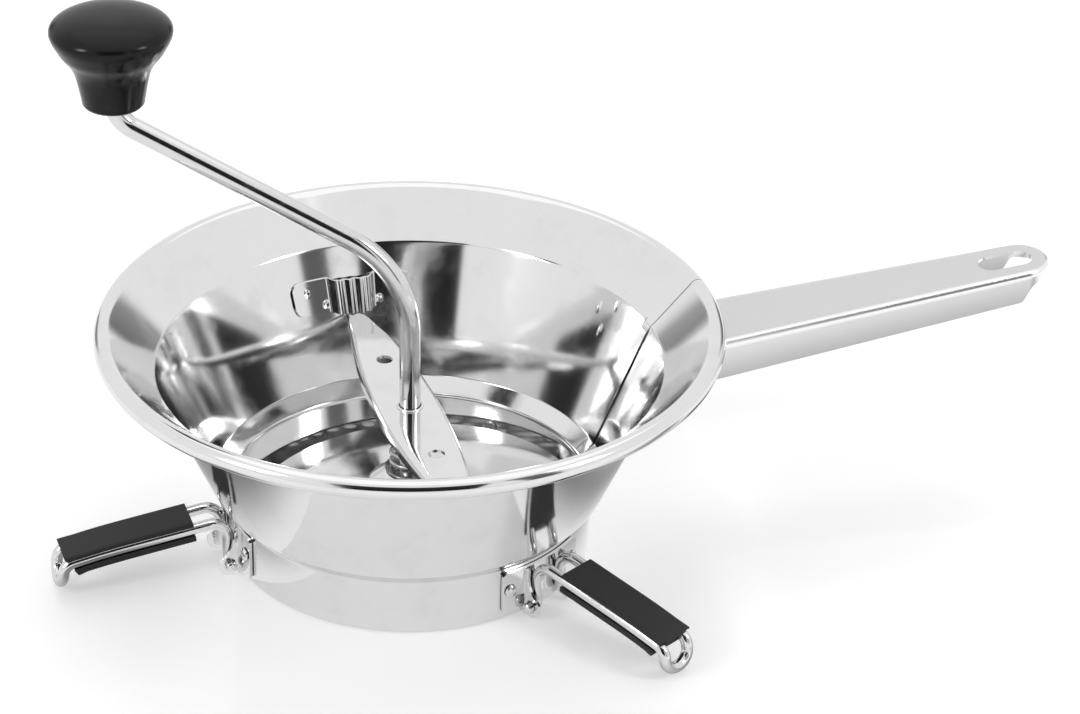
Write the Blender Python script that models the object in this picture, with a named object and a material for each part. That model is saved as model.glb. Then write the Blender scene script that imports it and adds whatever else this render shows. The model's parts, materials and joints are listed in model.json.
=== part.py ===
# Food mill: a conical steel bowl on a drum-shaped foot, a long pressed handle, three folding wire legs,
# and a crank that turns a helical blade over a perforated disc. Metres, +Z up, the handle along +X.
# The origin is on the bowl's axis, in the plane that the foot stands on.
import bpy
import bmesh
from math import acos, asin, atan2, ceil, cos, degrees, hypot, pi, radians, sin, sqrt, tan
from mathutils import Matrix, Vector

# Clearances
fitGap = 0.0003
runGap = 0.00035
cutOverrun = 0.002
mergeDistance = 0.000002
sharpEdgeDeg = 32.0
wireSharpDeg = 60.0

# Bowl
bowlSheet = 0.0010
footRadius = 0.0703
lipWidth = 0.0083
footWallHeight = 0.0231
shoulderStep = 0.0052
coneFootHeight = 0.0287
coneTopRadius = 0.0975
coneTopHeight = 0.0782
rimRadius = 0.1162
rimHeight = 0.0917
beadRadius = 0.0037
footCornerRadius = 0.0022
shoulderRadius = 0.0020
creaseRadius = 0.0028
bowlSteps = 56

# Handle
handleSheet = 0.0012
handleSlopeDeg = 4.24
handleTopAtRoot = 0.0761
handleLength = 0.1649
handleRootHalfWidth = 0.0180
handleTipRadius = 0.0125
handleRootDepth = 0.0168
handleTipDepth = 0.0130
handleFoldRadius = 0.0025
tipLipDepth = 0.0060
tipNotchLength = 0.0060
tipNotchFromTip = 0.0125
slotLength = 0.0225
slotWidth = 0.0110
slotFromTip = 0.0180
handleRootGap = 0.0006
tabLength = 0.0120
tabHeight = 0.0100
tabTopBelowHandle = 0.0035

# Crossbar and its two brackets on the cone
barSheet = 0.0012
barTopHeight = 0.0583
barFlatHalfLength = 0.0551
barHalfWidth = 0.0120
barTongueHalfWidth = 0.0030
barFlangeDepth = 0.0055
barFoldRadius = 0.0025
barHoleRadius = 0.00325
barHoleOffset = 0.0374
collarRadius = 0.0052
collarRise = 0.0006
collarDrop = 0.0006
tongueRise = 0.0024
tongueBendRadius = 0.0011
strapSheet = 0.0010
strapBottom = 0.0556
strapHeight = 0.0125
strapHalfLength = 0.0250
loopHalfWidth = 0.0082
loopRaise = 0.0036
loopRampWidth = 0.0022
ribDepth = 0.00025
ribCount = 3
# stations along the flat and the slope, and how the section narrows towards the tongue, as shares
barFlatShares = (0.0, 0.1, 0.3, 0.5, 0.7, 0.85, 1.0)
barSlopeShares = (0.33, 0.67)
barSwellPower = 0.6
tongueFoldShare = 0.55
flangeFootShare = 0.1
strapCornerShare = 0.3
strapTrimShare = 0.9

# Crank
rodRadius = 0.00405
rodBendStart = 0.0912
rodBendRadius = 0.0430
armRiseDeg = 27.0
armLength = 0.0902
knobBendRadius = 0.0127
rodInKnob = 0.0210
crankAzimuthDeg = 157.4

# Knob and the ring that keeps it on the rod
knobRadius = 0.0230
knobDomeHeight = 0.0070
knobStemHeight = 0.0300
knobStemRadius = 0.0118
knobFootRadius = 0.0020
knobDrop = 0.0020
knobChamberRadius = 0.0072
knobMouthRadius = 0.0056
knobMouthDepth = 0.0030
ringRadius = 0.0066
ringSheet = 0.0010
ringRoom = 0.0022
rodPastRing = 0.0006
# radius and drop below the widest line, as shares of the knob's radius and of its stem's height
knobRadiusShares = (0.985, 0.945, 0.845, 0.713, 0.626, 0.578, 0.539, 0.515)
knobDropShares = (0.07, 0.15, 0.27, 0.40, 0.53, 0.67, 0.82, 0.92)
knobDomePower = 0.8

# Blade hub, its boss, cross pin and washers, and the spring
hubSheet = 0.0012
hubRadius = 0.0165
hubCrownRadius = 0.0095
hubTop = 0.0304
hubShoulder = 0.0249
hubFoot = 0.0050
hubCornerRadius = 0.0016
bossRadius = 0.0080
bossHeight = 0.0070
pinRadius = 0.0012
washerSheet = 0.0009
washerRadius = 0.0098
springRadius = 0.0072
springWireRadius = 0.0009
springCurls = 5
pointsPerCurl = 10
springEndPitch = 0.0027

# Blade
bladeSheet = 0.0010
bladeWallGap = 0.0038
bladeRise = 0.0165
bladeSweepDeg = 235.0
bladeLeadAzimuthDeg = -25.0
bladeClimbPower = 1.25
bladeRadiusShares = (0.0, 0.5, 1.0)

# Perforated disc
discSheet = 0.0010
discWallGap = 0.0013
discHoleRadius = 0.0026
discHolePitch = 0.0136
discRimWidth = 0.0110
discBossRadius = 0.0072
discBossHeight = 0.0032
discBossCorner = 0.0012

# Legs, their sleeves and brackets
legAzimuthsDeg = (-60.0, 60.0, 180.0)
legWireRadius = 0.00225
legSpread = 0.0062
legPivotHeight = 0.0050
legRise = 0.0078
legArchRadius = 0.0063
legSlopeDeg = 8.0
legArmLength = 0.0333
legBowRadius = 0.2550
legBowDeg = 4.5
legHookRadius = 0.0052
legHookDeg = 69.5
legHookLength = 0.0004
legLoopReach = 0.0055
legEarBendRadius = 0.0029
legStub = 0.0028
sleeveStart = 0.0131
sleeveLength = 0.0484
sleeveHalfWidth = 0.0082
sleeveRise = 0.0034
sleeveDrop = 0.0050
sleeveEndLean = 0.45
sleeveCornerRadius = 0.0009
sleeveGrooveGap = 0.0004
sleeveLipSlope = 0.0003
sleeveMouthDeg = 48.0
bracketSheet = 0.0012
bracketBottom = 0.0034
bracketHeight = 0.0178
bracketHalfAngleDeg = 16.4
earLobeRadius = 0.0046
earRootRise = 0.0006
earRootHeight = 0.0062
earLobeStartDeg = 45.0
earLobeSweepDeg = 150.0
earFootShare = 0.25
rivetAzimuthDeg = 13.6
rivetHeight = 0.0133
rivetShankRadius = 0.0014
rivetHeadRadius = 0.0026
rivetHeadHeight = 0.0012
rivetTailRadius = 0.0023
rivetTailHeight = 0.0007


def clearScene():
    for item in list(bpy.data.objects):
        bpy.data.objects.remove(item, do_unlink=True)


def makeMaterial(name, colour, metallic, roughness):
    material = bpy.data.materials.new(name)
    material.use_nodes = True
    shader = material.node_tree.nodes["Principled BSDF"]
    shader.inputs["Base Color"].default_value = (*colour, 1.0)
    shader.inputs["Metallic"].default_value = metallic
    shader.inputs["Roughness"].default_value = roughness
    return material


# Object made from a bmesh, with its faces turned outward and round parts shaded smooth.
def objectFrom(bm, name, material=None, sharpDeg=sharpEdgeDeg):
    bmesh.ops.remove_doubles(bm, verts=bm.verts, dist=mergeDistance)
    bmesh.ops.recalc_face_normals(bm, faces=bm.faces)
    mesh = bpy.data.meshes.new(name)
    bm.to_mesh(mesh)
    bm.free()
    mesh.shade_smooth()
    mesh.set_sharp_from_angle(angle=radians(sharpDeg))
    made = bpy.data.objects.new(name, mesh)
    bpy.context.scene.collection.objects.link(made)
    if material:
        mesh.materials.append(material)
    return made


# Mesh of an object as its modifiers or its curve leave it.
def evaluatedMesh(made):
    bpy.context.view_layer.update()
    view = made.evaluated_get(bpy.context.evaluated_depsgraph_get())
    return bpy.data.meshes.new_from_object(view)


# Boolean of an object with some helpers, applied at once; the helpers are then removed.
def combine(made, helpers, operation):
    for helper in helpers:
        step = made.modifiers.new(helper.name, "BOOLEAN")
        step.operation = operation
        step.solver = "EXACT"
        step.object = helper
    baked = evaluatedMesh(made)
    made.modifiers.clear()
    made.data = baked
    baked.shade_smooth()
    baked.set_sharp_from_angle(angle=radians(sharpEdgeDeg))
    for helper in helpers:
        bpy.data.objects.remove(helper, do_unlink=True)
    return made


# Solid turned about Z from an outline of (radius, height) points; an outline that ends on the axis is open.
def turned(name, outline, steps, material=None):
    bm = bmesh.new()
    corners = [bm.verts.new((radius, 0.0, height)) for radius, height in outline]
    edges = [bm.edges.new(pair) for pair in zip(corners, corners[1:])]
    if outline[0][0] > 0.0:
        edges.append(bm.edges.new((corners[-1], corners[0])))
    bmesh.ops.spin(bm, geom=corners + edges, cent=(0.0, 0.0, 0.0), axis=(0.0, 0.0, 1.0),
                   angle=2.0 * pi, steps=steps, use_merge=True)
    return objectFrom(bm, name, material)


# Solid through closed rings of points, each bridged to the next, with both ends capped.
def lofted(name, rings, material=None):
    bm = bmesh.new()
    rows = [[bm.verts.new(point) for point in ring] for ring in rings]
    for row, following in zip(rows, rows[1:]):
        for index in range(len(row)):
            after = (index + 1) % len(row)
            bm.faces.new((row[index], row[after], following[after], following[index]))
    bm.faces.new(rows[0])
    bm.faces.new(rows[-1])
    return objectFrom(bm, name, material)


# Straight prism from an outline in a plane, pushed along a vector.
def prism(name, outline, push, material=None):
    bm = bmesh.new()
    base = bm.faces.new([bm.verts.new(point) for point in outline])
    grown = bmesh.ops.extrude_face_region(bm, geom=[base])["geom"]
    bmesh.ops.translate(bm, verts=[item for item in grown if isinstance(item, bmesh.types.BMVert)], vec=push)
    return objectFrom(bm, name, material)


# Round bar between two points.
def rodBetween(name, start, end, radius, sides, material=None):
    start = Vector(start)
    run = Vector(end) - start
    bm = bmesh.new()
    bmesh.ops.create_cone(bm, cap_ends=True, segments=sides, radius1=radius, radius2=radius, depth=run.length)
    turn = Vector((0.0, 0.0, 1.0)).rotation_difference(run).to_matrix().to_4x4()
    bmesh.ops.transform(bm, matrix=Matrix.Translation(start + run / 2.0) @ turn, verts=bm.verts)
    return objectFrom(bm, name, material)


# Round wire along points: a curve with a bevel and filled ends, turned into a mesh.
def wire(name, points, radius, bevelResolution, material=None):
    curve = bpy.data.curves.new(name, "CURVE")
    curve.dimensions = "3D"
    curve.bevel_depth = radius
    curve.bevel_resolution = bevelResolution
    curve.use_fill_caps = True
    spline = curve.splines.new("POLY")
    spline.points.add(len(points) - 1)
    for slot, point in zip(spline.points, points):
        slot.co = (*point, 1.0)
        slot.radius = 1.0
    helper = bpy.data.objects.new(name + "_route", curve)
    bpy.context.scene.collection.objects.link(helper)
    mesh = evaluatedMesh(helper)
    bpy.data.objects.remove(helper, do_unlink=True)
    bm = bmesh.new()
    bm.from_mesh(mesh)
    bpy.data.meshes.remove(mesh)
    return objectFrom(bm, name, material, wireSharpDeg)


# Points along straight runs and bends in a plane: a move is a length, or a bend radius and its turn in
# degrees (positive to the left). Returns (across, up, heading) for each point.
def pathOf(start, headingDeg, moves, bendStepDeg=9.0):
    across, up = start
    heading = radians(headingDeg)
    points = [(across, up, heading)]
    for move in moves:
        if len(move) == 1:
            across += move[0] * cos(heading)
            up += move[0] * sin(heading)
            points.append((across, up, heading))
            continue
        radius, turn = move[0], radians(move[1])
        steps = max(2, ceil(abs(move[1]) / bendStepDeg))
        side = 1.0 if turn > 0.0 else -1.0
        centre = (across - side * radius * sin(heading), up + side * radius * cos(heading))
        for step in range(1, steps + 1):
            angle = heading + turn * step / steps
            across = centre[0] + side * radius * sin(angle)
            up = centre[1] - side * radius * cos(angle)
            points.append((across, up, angle))
        heading += turn
    return points


# Line through corners, each inner corner rounded by its radius.
def roundedLine(corners, radii, steps=2):
    line = [corners[0]]
    for index in range(1, len(corners) - 1):
        corner = Vector(corners[index])
        back = (Vector(corners[index - 1]) - corner).normalized()
        ahead = (Vector(corners[index + 1]) - corner).normalized()
        half = back.angle(ahead) / 2.0
        reach = radii[index - 1] / tan(half)
        centre = corner + (back + ahead).normalized() * radii[index - 1] / sin(half)
        first = corner + back * reach - centre
        last = corner + ahead * reach - centre
        opening = first.angle(last)
        for step in range(steps + 1):
            share = step / steps
            spoke = (first * sin((1.0 - share) * opening) + last * sin(share * opening)) / sin(opening)
            line.append(tuple(centre + spoke))
    line.append(corners[-1])
    return line


# Both sides of a sheet along its middle line: the left side forward and the right side.
def sheetSides(line, sheet):
    left, right = [], []
    for index, point in enumerate(line):
        here = Vector(point)
        before = (here - Vector(line[index - 1])).normalized() if index else None
        after = (Vector(line[index + 1]) - here).normalized() if index < len(line) - 1 else None
        before = before or after
        after = after or before
        along = (before + after).normalized()
        across = Vector((-along.y, along.x)) * sheet / 2.0 / along.dot(after)
        left.append(tuple(here + across))
        right.append(tuple(here - across))
    return left, right


def sheetOutline(line, sheet):
    left, right = sheetSides(line, sheet)
    return left + right[::-1]


coneFootRadius = footRadius + shoulderStep
coneLean = (coneTopRadius - coneFootRadius) / (coneTopHeight - coneFootHeight)
coneSide = bowlSheet / 2.0 * hypot(1.0, coneLean)


def coneInner(height):
    return coneFootRadius + (height - coneFootHeight) * coneLean - coneSide


def coneOuter(height):
    return coneInner(height) + 2.0 * coneSide


# Bowl: one sheet from the foot's inward lip up the wall, shoulder and cone, and along a flare that runs
# straight onto the top of the rim's roll.
def bowlShell(material):
    half = bowlSheet / 2.0
    wallRadius = footRadius - half
    centreOut, centreUp = rimRadius - coneTopRadius, rimHeight - coneTopHeight
    rollRadius = beadRadius - half
    flareAngle = atan2(centreUp, centreOut) + asin(rollRadius / hypot(centreOut, centreUp))
    flareEnd = (rimRadius - rollRadius * sin(flareAngle), rimHeight + rollRadius * cos(flareAngle))
    corners = [(footRadius - lipWidth, half), (wallRadius, half), (wallRadius, footWallHeight),
               (coneFootRadius, coneFootHeight), (coneTopRadius, coneTopHeight), flareEnd]
    radii = (footCornerRadius - half, shoulderRadius, shoulderRadius, creaseRadius)
    inner, outer = sheetSides(roundedLine(corners, radii), bowlSheet)
    end = 2.5 * pi + flareAngle
    start = end - 2.0 * pi + acos((beadRadius - bowlSheet) / beadRadius)
    beadSteps = 12
    bead = []
    for step in range(beadSteps + 1):
        angle = start + (end - start) * step / beadSteps
        bead.append((rimRadius + beadRadius * cos(angle), rimHeight + beadRadius * sin(angle)))
    shell = turned("bowl_shell", outer[:-1] + bead + inner[-2::-1], bowlSteps, material)
    drills = []
    for azimuth in legAzimuthsDeg:
        for side in (-1.0, 1.0):
            drills.append(rivetDrill(azimuth + side * rivetAzimuthDeg))
    return combine(shell, drills, "DIFFERENCE")


def rivetDrill(azimuthDeg):
    ray = Vector((cos(radians(azimuthDeg)), sin(radians(azimuthDeg)), 0.0))
    lift = Vector((0.0, 0.0, rivetHeight))
    inside = ray * (footRadius - bowlSheet - cutOverrun) + lift
    outside = ray * (footRadius + fitGap + bracketSheet + cutOverrun) + lift
    return rodBetween("rivet_drill", inside, outside, rivetShankRadius + runGap, 8)


# Height of the handle's top face at a distance from the bowl's axis.
def handleTop(across):
    return handleTopAtRoot + (across - coneTopRadius) * tan(radians(handleSlopeDeg))


# Handle: a channel whose edge folds down along its plan outline, with a lower lip round the tip.
def handle(material):
    root = coneTopRadius
    tipCentre = root + handleLength - handleTipRadius
    notchEnd = root + handleLength - tipNotchFromTip + tipNotchLength / 2.0
    notchStart = notchEnd - tipNotchLength
    sideShares = (0.0, 0.25, 0.5, 0.75, 0.9)
    tipSteps = 16
    plan = []
    for share in sideShares:
        plan.append((root + (tipCentre - root) * share, 1.0, 0.0))
    for step in range(tipSteps + 1):
        angle = pi / 2.0 - pi * step / tipSteps
        plan.append((tipCentre, sin(angle), cos(angle)))
    for share in reversed(sideShares):
        plan.append((root + (tipCentre - root) * share, -1.0, 0.0))

    bm = bmesh.new()
    rows = []
    foldSteps = 4
    for across, sideways, forward in plan:
        share = (across - root) / (tipCentre - root)
        half = handleRootHalfWidth + (handleTipRadius - handleRootHalfWidth) * share
        depth = handleRootDepth + (handleTipDepth - handleRootDepth) * share
        reach = across + half * forward
        if reach > notchStart:
            drop = min(1.0, (reach - notchStart) / (notchEnd - notchStart))
            depth += (tipLipDepth - depth) * (1.0 - cos(pi * drop)) / 2.0
        section = [(0.0, 0.0), (half - handleFoldRadius, 0.0)]
        for step in range(1, foldSteps + 1):
            angle = pi / 2.0 * step / foldSteps
            section.append((half - handleFoldRadius + handleFoldRadius * sin(angle),
                            -handleFoldRadius + handleFoldRadius * cos(angle)))
        section.append((half, -depth))
        row = []
        for out, down in section:
            place = Vector((across + out * forward, out * sideways, 0.0))
            place.z = handleTop(place.x) + down
            if share == 0.0:
                reachOut = coneOuter(place.z) + handleRootGap
                place.x = sqrt(reachOut * reachOut - place.y * place.y)
            row.append(bm.verts.new(place))
        rows.append(row)
    for row, following in zip(rows, rows[1:]):
        for index in range(len(row) - 1):
            bm.faces.new((row[index], row[index + 1], following[index + 1], following[index]))
    spine = [row[0] for row in rows]
    count = len(sideShares)
    for index in range(count):
        spine[-1 - index].co = spine[index].co
    bmesh.ops.remove_doubles(bm, verts=bm.verts, dist=mergeDistance)
    bmesh.ops.dissolve_degenerate(bm, dist=mergeDistance, edges=bm.edges)
    made = objectFrom(bm, "handle", material)
    sheet = made.modifiers.new("sheet", "SOLIDIFY")
    sheet.thickness = handleSheet
    sheet.offset = -1.0
    sheet.use_even_offset = True
    made.data = evaluatedMesh(made)
    made.modifiers.clear()

    tabs = [handleTab(side) for side in (-1.0, 1.0)]
    combine(made, tabs, "UNION")
    slotCentre = root + handleLength - slotFromTip
    straight = slotLength / 2.0 - slotWidth / 2.0
    outline = []
    slotSteps = 8
    for end in (1.0, -1.0):
        for step in range(slotSteps + 1):
            angle = -pi / 2.0 * end + pi * step / slotSteps
            outline.append((slotCentre + end * straight + slotWidth / 2.0 * cos(angle),
                            slotWidth / 2.0 * sin(angle), handleTop(slotCentre) - handleTipDepth))
    cutter = prism("slot_cutter", outline, (0.0, 0.0, 2.0 * handleTipDepth))
    return combine(made, [cutter], "DIFFERENCE")


# Foot of the handle's side flange, turned outward along the cone.
def handleTab(side):
    top = handleTopAtRoot - tabTopBelowHandle
    low = top - tabHeight
    start = asin((handleRootHalfWidth - handleSheet / 2.0) / coneOuter(top))
    end = start + tabLength / coneOuter(top)
    steps = 5
    rings = []
    for step in range(steps + 1):
        azimuth = side * (start + (end - start) * step / steps)
        ring = []
        for height, lift in ((low, 0.0), (top, 0.0), (top, handleSheet), (low, handleSheet)):
            radius = coneOuter(height) + fitGap + lift
            ring.append((radius * cos(azimuth), radius * sin(azimuth), height))
        rings.append(ring)
    return lofted("handle_tab", rings)


# Crossbar bracket: a strap on the cone's inside whose middle stands off as a ribbed loop.
def crossbarBracket(name, azimuthDeg, material):
    steps = 40
    rings = []
    reference = coneInner(strapBottom + strapHeight / 2.0)
    cornerRadius = strapHeight * strapCornerShare
    for step in range(steps + 1):
        along = strapHalfLength * (2.0 * step / steps - 1.0)
        inward = (loopHalfWidth - abs(along)) / loopRampWidth + 0.5
        inward = min(1.0, max(0.0, inward))
        stand = loopRaise * (1.0 - cos(pi * inward)) / 2.0
        if abs(along) < loopHalfWidth - loopRampWidth:
            stand += ribDepth * cos(2.0 * pi * ribCount * along / (2.0 * (loopHalfWidth - loopRampWidth)))
        toEnd = strapHalfLength - abs(along)
        trim = 0.0
        if toEnd < cornerRadius:
            missing = cornerRadius - toEnd
            trim = cornerRadius - sqrt(max(0.0, cornerRadius * cornerRadius - missing * missing))
            trim = min(trim, cornerRadius * strapTrimShare)
        azimuth = radians(azimuthDeg) + along / reference
        low, high = strapBottom + trim, strapBottom + strapHeight - trim
        ring = []
        for height, lift in ((low, 0.0), (high, 0.0), (high, strapSheet), (low, strapSheet)):
            radius = coneInner(height) - fitGap - stand - lift
            ring.append((radius * cos(azimuth), radius * sin(azimuth), height))
        rings.append(ring)
    return lofted(name, rings, material)


# Middle line of the crossbar's half, from the centre out to the tongue's upturned tip: (out, up, heading).
def crossbarPath():
    half = barSheet / 2.0
    strapFront = coneInner(strapBottom) - fitGap - loopRaise - ribDepth - strapSheet
    turnStart = strapFront + strapSheet + ribDepth + fitGap + half - tongueBendRadius
    low = strapBottom - fitGap - half
    leanDeg = degrees(atan2(1.0, coneLean))
    path = []
    middle = barTopHeight - half
    for share in barFlatShares:
        path.append((barFlatHalfLength * share, middle, 0.0))
    slopeEnd = strapFront - strapSheet
    slope = atan2(low - middle, slopeEnd - barFlatHalfLength)
    for share in barSlopeShares:
        path.append((barFlatHalfLength + (slopeEnd - barFlatHalfLength) * share,
                     middle + (low - middle) * share, slope))
    path.append((slopeEnd, low, slope / 2.0))
    turn = pathOf((turnStart, low), 0.0, ((tongueBendRadius, leanDeg), (tongueRise,)), 15.0)
    return path + turn


# Crossbar: a channel section along its path, wide at the centre and narrow at the tongues.
def crossbar(material):
    path = crossbarPath()
    outEnd = coneInner(strapBottom) - fitGap - loopRaise - 2.0 * strapSheet
    rings = []
    foldSteps = 2
    for direction in (-1.0, 1.0):
        stations = path[::-1] if direction < 0.0 else path[1:]
        for out, up, heading in stations:
            share = min(1.0, out / outEnd)
            swell = 1.0 - share * share
            half = barTongueHalfWidth + (barHalfWidth - barTongueHalfWidth) * swell
            depth = barSheet / 2.0 + (barFlangeDepth - barSheet / 2.0) * swell ** barSwellPower
            tongueFold = barSheet * tongueFoldShare
            fold = tongueFold + (barFoldRadius - tongueFold) * swell ** barSwellPower
            fold = min(fold, depth)
            line = []
            for side in (-1.0, 1.0):
                bend = []
                for step in range(foldSteps + 1):
                    angle = pi / 2.0 * step / foldSteps
                    bend.append((side * (half - fold + fold * cos(angle)), -fold + fold * sin(angle)))
                foot = [(side * half, -depth - barSheet * flangeFootShare)]
                line += foot + bend if side < 0.0 else bend[::-1] + foot
            ring = []
            for across, lift in sheetOutline(line, barSheet):
                ring.append((across, direction * (out - lift * sin(heading)), up + lift * cos(heading)))
            rings.append(ring)
    made = lofted("crossbar", rings, material)
    plateLow = barTopHeight - barSheet
    collar = rodBetween("collar", (0.0, 0.0, plateLow - collarDrop), (0.0, 0.0, barTopHeight + collarRise),
                        collarRadius, 16)
    combine(made, [collar], "UNION")
    low, high = plateLow - cutOverrun, barTopHeight + cutOverrun
    drills = [rodBetween("rod_drill", (0.0, 0.0, low), (0.0, 0.0, high), rodRadius + runGap, 16)]
    for side in (-1.0, 1.0):
        place = side * barHoleOffset
        drills.append(rodBetween("bar_drill", (0.0, place, low), (0.0, place, high), barHoleRadius, 14))
    return combine(made, drills, "DIFFERENCE")


# Crank rod: straight up the axis, bent over to the arm, and bent up again into the knob.
def rodPath():
    start = bowlSheet + fitGap + runGap
    return pathOf((0.0, start), 90.0, ((rodBendStart - start,), (rodBendRadius, armRiseDeg - 90.0),
                                       (armLength,), (knobBendRadius, 90.0 - armRiseDeg), (rodInKnob,)))


def crankRod(material):
    ray = (cos(radians(crankAzimuthDeg)), sin(radians(crankAzimuthDeg)))
    points = [(out * ray[0], out * ray[1], up) for out, up, heading in rodPath()]
    made = wire("crank_rod", points, rodRadius, 4, material)
    return combine(made, [pinDrill()], "DIFFERENCE")


def pinHeight():
    return hubTop - hubSheet - fitGap - bossHeight / 2.0


def pinDrill():
    reach, height = bossRadius + cutOverrun, pinHeight()
    return rodBetween("pin_drill", (-reach, 0.0, height), (reach, 0.0, height), pinRadius + fitGap, 12)


# Knob: a mushroom with a bore for the rod and a chamber for the retaining ring.
def knobPlace():
    out, up, heading = rodPath()[-1]
    azimuth = radians(crankAzimuthDeg)
    foot = up - rodInKnob - knobDrop
    return Vector((out * cos(azimuth), out * sin(azimuth), foot))


def ringHeight():
    return rodPath()[-1][1] - rodPastRing - ringSheet - knobPlace().z


def knob(material):
    bore = rodRadius + runGap
    floor = ringHeight() - fitGap
    roof = floor + ringRoom
    outline = [(0.0, roof), (knobChamberRadius, roof), (knobChamberRadius, floor), (bore, floor),
               (bore, knobMouthDepth), (knobMouthRadius, 0.0)]
    footSteps = 3
    for step in range(footSteps + 1):
        angle = -pi / 2.0 + pi / 2.0 * step / footSteps
        outline.append((knobStemRadius - knobFootRadius + knobFootRadius * cos(angle),
                        knobFootRadius + knobFootRadius * sin(angle)))
    for radiusShare, dropShare in reversed(tuple(zip(knobRadiusShares, knobDropShares))):
        outline.append((knobRadius * radiusShare, knobStemHeight * (1.0 - dropShare)))
    domeSteps = 7
    for step in range(domeSteps):
        angle = pi / 2.0 * step / domeSteps
        outline.append((knobRadius * cos(angle) ** knobDomePower,
                        knobStemHeight + knobDomeHeight * sin(angle)))
    outline.append((0.0, knobStemHeight + knobDomeHeight))
    made = turned("knob", outline, 24, material)
    made.location = knobPlace()
    return made


# Flat ring about Z.
def flatRing(name, bore, radius, bottom, sheet, steps, material):
    outline = ((bore, bottom), (radius, bottom), (radius, bottom + sheet), (bore, bottom + sheet))
    return turned(name, outline, steps, material)


def knobRing(material):
    made = flatRing("knob_retainer", rodRadius + fitGap, ringRadius, ringHeight(), ringSheet, 24, material)
    made.location = knobPlace()
    return made


# Hub: a pressed dome whose crown carries the spring and whose skirt carries the blade.
def bladeHub(material):
    half = hubSheet / 2.0
    corners = ((rodRadius + fitGap, hubTop - half), (hubCrownRadius, hubTop - half),
               (hubRadius - half, hubShoulder), (hubRadius - half, hubFoot))
    line = roundedLine(corners, (hubCornerRadius, hubCornerRadius))
    return turned("blade_hub", sheetOutline(line, hubSheet), 18, material)


def hubBoss(material):
    bottom = hubTop - hubSheet - fitGap - bossHeight
    made = flatRing("hub_boss", rodRadius + fitGap, bossRadius, bottom, bossHeight, 24, material)
    return combine(made, [pinDrill()], "DIFFERENCE")


def hubPin(material):
    height = pinHeight()
    return rodBetween("hub_pin", (-bossRadius, 0.0, height), (bossRadius, 0.0, height), pinRadius, 12, material)


# Spring: one wire wound from the lower washer to the upper one, close at both ends and open between.
def springPoints():
    bottom = hubTop + 2.0 * fitGap + washerSheet + springWireRadius
    top = barTopHeight - barSheet - collarDrop - 2.0 * fitGap - washerSheet - springWireRadius
    count = springCurls * pointsPerCurl
    closed = pointsPerCurl
    openPitch = (top - bottom - 2.0 * springEndPitch) / (springCurls - 2)
    points = []
    height = bottom
    for step in range(count + 1):
        angle = 2.0 * pi * step / pointsPerCurl
        points.append((springRadius * cos(angle), springRadius * sin(angle), height))
        pitch = springEndPitch if step < closed or step >= count - closed else openPitch
        height += pitch / pointsPerCurl
    return points


def springGap(points):
    wireWidth = 2.0 * springWireRadius
    nearest = min((Vector(points[later]) - Vector(points[early])).length
                  for early in range(len(points))
                  for later in range(early + pointsPerCurl // 2, len(points)))
    return nearest - wireWidth


def spring(material):
    points = springPoints()
    print("spring: least gap to itself", round(springGap(points) * 1000.0, 3), "mm")
    return wire("spring", points, springWireRadius, 1, material)


# Blade: a sheet that climbs round the hub from the disc to its raised leading edge.
def blade(material):
    low = bowlSheet + fitGap + discSheet + fitGap
    innerRadius = hubRadius + fitGap
    bladeRadius = footRadius - bowlSheet - bladeWallGap
    steps = 36
    rings = []
    for step in range(steps + 1):
        share = step / steps
        azimuth = radians(bladeLeadAzimuthDeg + bladeSweepDeg * share)
        climb = bladeRise * (1.0 - share) ** bladeClimbPower
        lower, upper = [], []
        for radiusShare in bladeRadiusShares:
            radius = innerRadius + (bladeRadius - innerRadius) * radiusShare
            place = (radius * cos(azimuth), radius * sin(azimuth))
            lower.append((*place, low + climb))
            upper.append((*place, low + climb + bladeSheet))
        rings.append(lower + upper[::-1])
    return lofted("blade", rings, material)


# Disc: a flat plate with a boss for the rod's end and a field of holes in rows.
def disc(material):
    bottom = bowlSheet + fitGap
    top = bottom + discSheet
    bore = rodRadius + runGap
    discRadius = footRadius - bowlSheet - discWallGap
    bossTop = bottom + discBossHeight
    outline = ((bore, bottom), (discRadius, bottom), (discRadius, top), (discBossRadius + discBossCorner, top),
               (discBossRadius, top + discBossCorner), (discBossRadius, bossTop), (bore, bossTop))
    made = turned("disc", outline, 48, material)
    bm = bmesh.new()
    rowStep = discHolePitch * sqrt(3.0) / 2.0
    holeField = discRadius - discRimWidth
    reach = ceil(holeField / rowStep)
    inner = hubRadius - hubSheet / 2.0
    for row in range(-reach, reach + 1):
        for column in range(-reach - 1, reach + 2):
            across = (column + 0.5 * (row % 2)) * discHolePitch
            along = row * rowStep
            if not inner - discHoleRadius < hypot(across, along) < holeField:
                continue
            middle = Vector((across, along, (bottom + top) / 2.0))
            bmesh.ops.create_cone(bm, cap_ends=True, segments=6, radius1=discHoleRadius,
                                  radius2=discHoleRadius, depth=discSheet + 2.0 * fitGap,
                                  matrix=Matrix.Translation(middle))
    cutter = objectFrom(bm, "hole_cutter")
    return combine(made, [cutter], "DIFFERENCE")


# Distance from the bowl's axis to a leg's pivot: its wires then stop on the bracket's plate.
def legPivotRadius():
    plate = footRadius + fitGap + bracketSheet
    return sqrt(plate * plate - legSpread * legSpread) + fitGap + legWireRadius


def legPivot(index):
    azimuth = radians(legAzimuthsDeg[index])
    empty = bpy.data.objects.new("leg_pivot_" + str(index + 1), None)
    bpy.context.scene.collection.objects.link(empty)
    reach = legPivotRadius()
    empty.location = (reach * cos(azimuth), reach * sin(azimuth), legPivotHeight)
    empty.rotation_euler = (0.0, 0.0, azimuth)
    return empty


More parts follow.
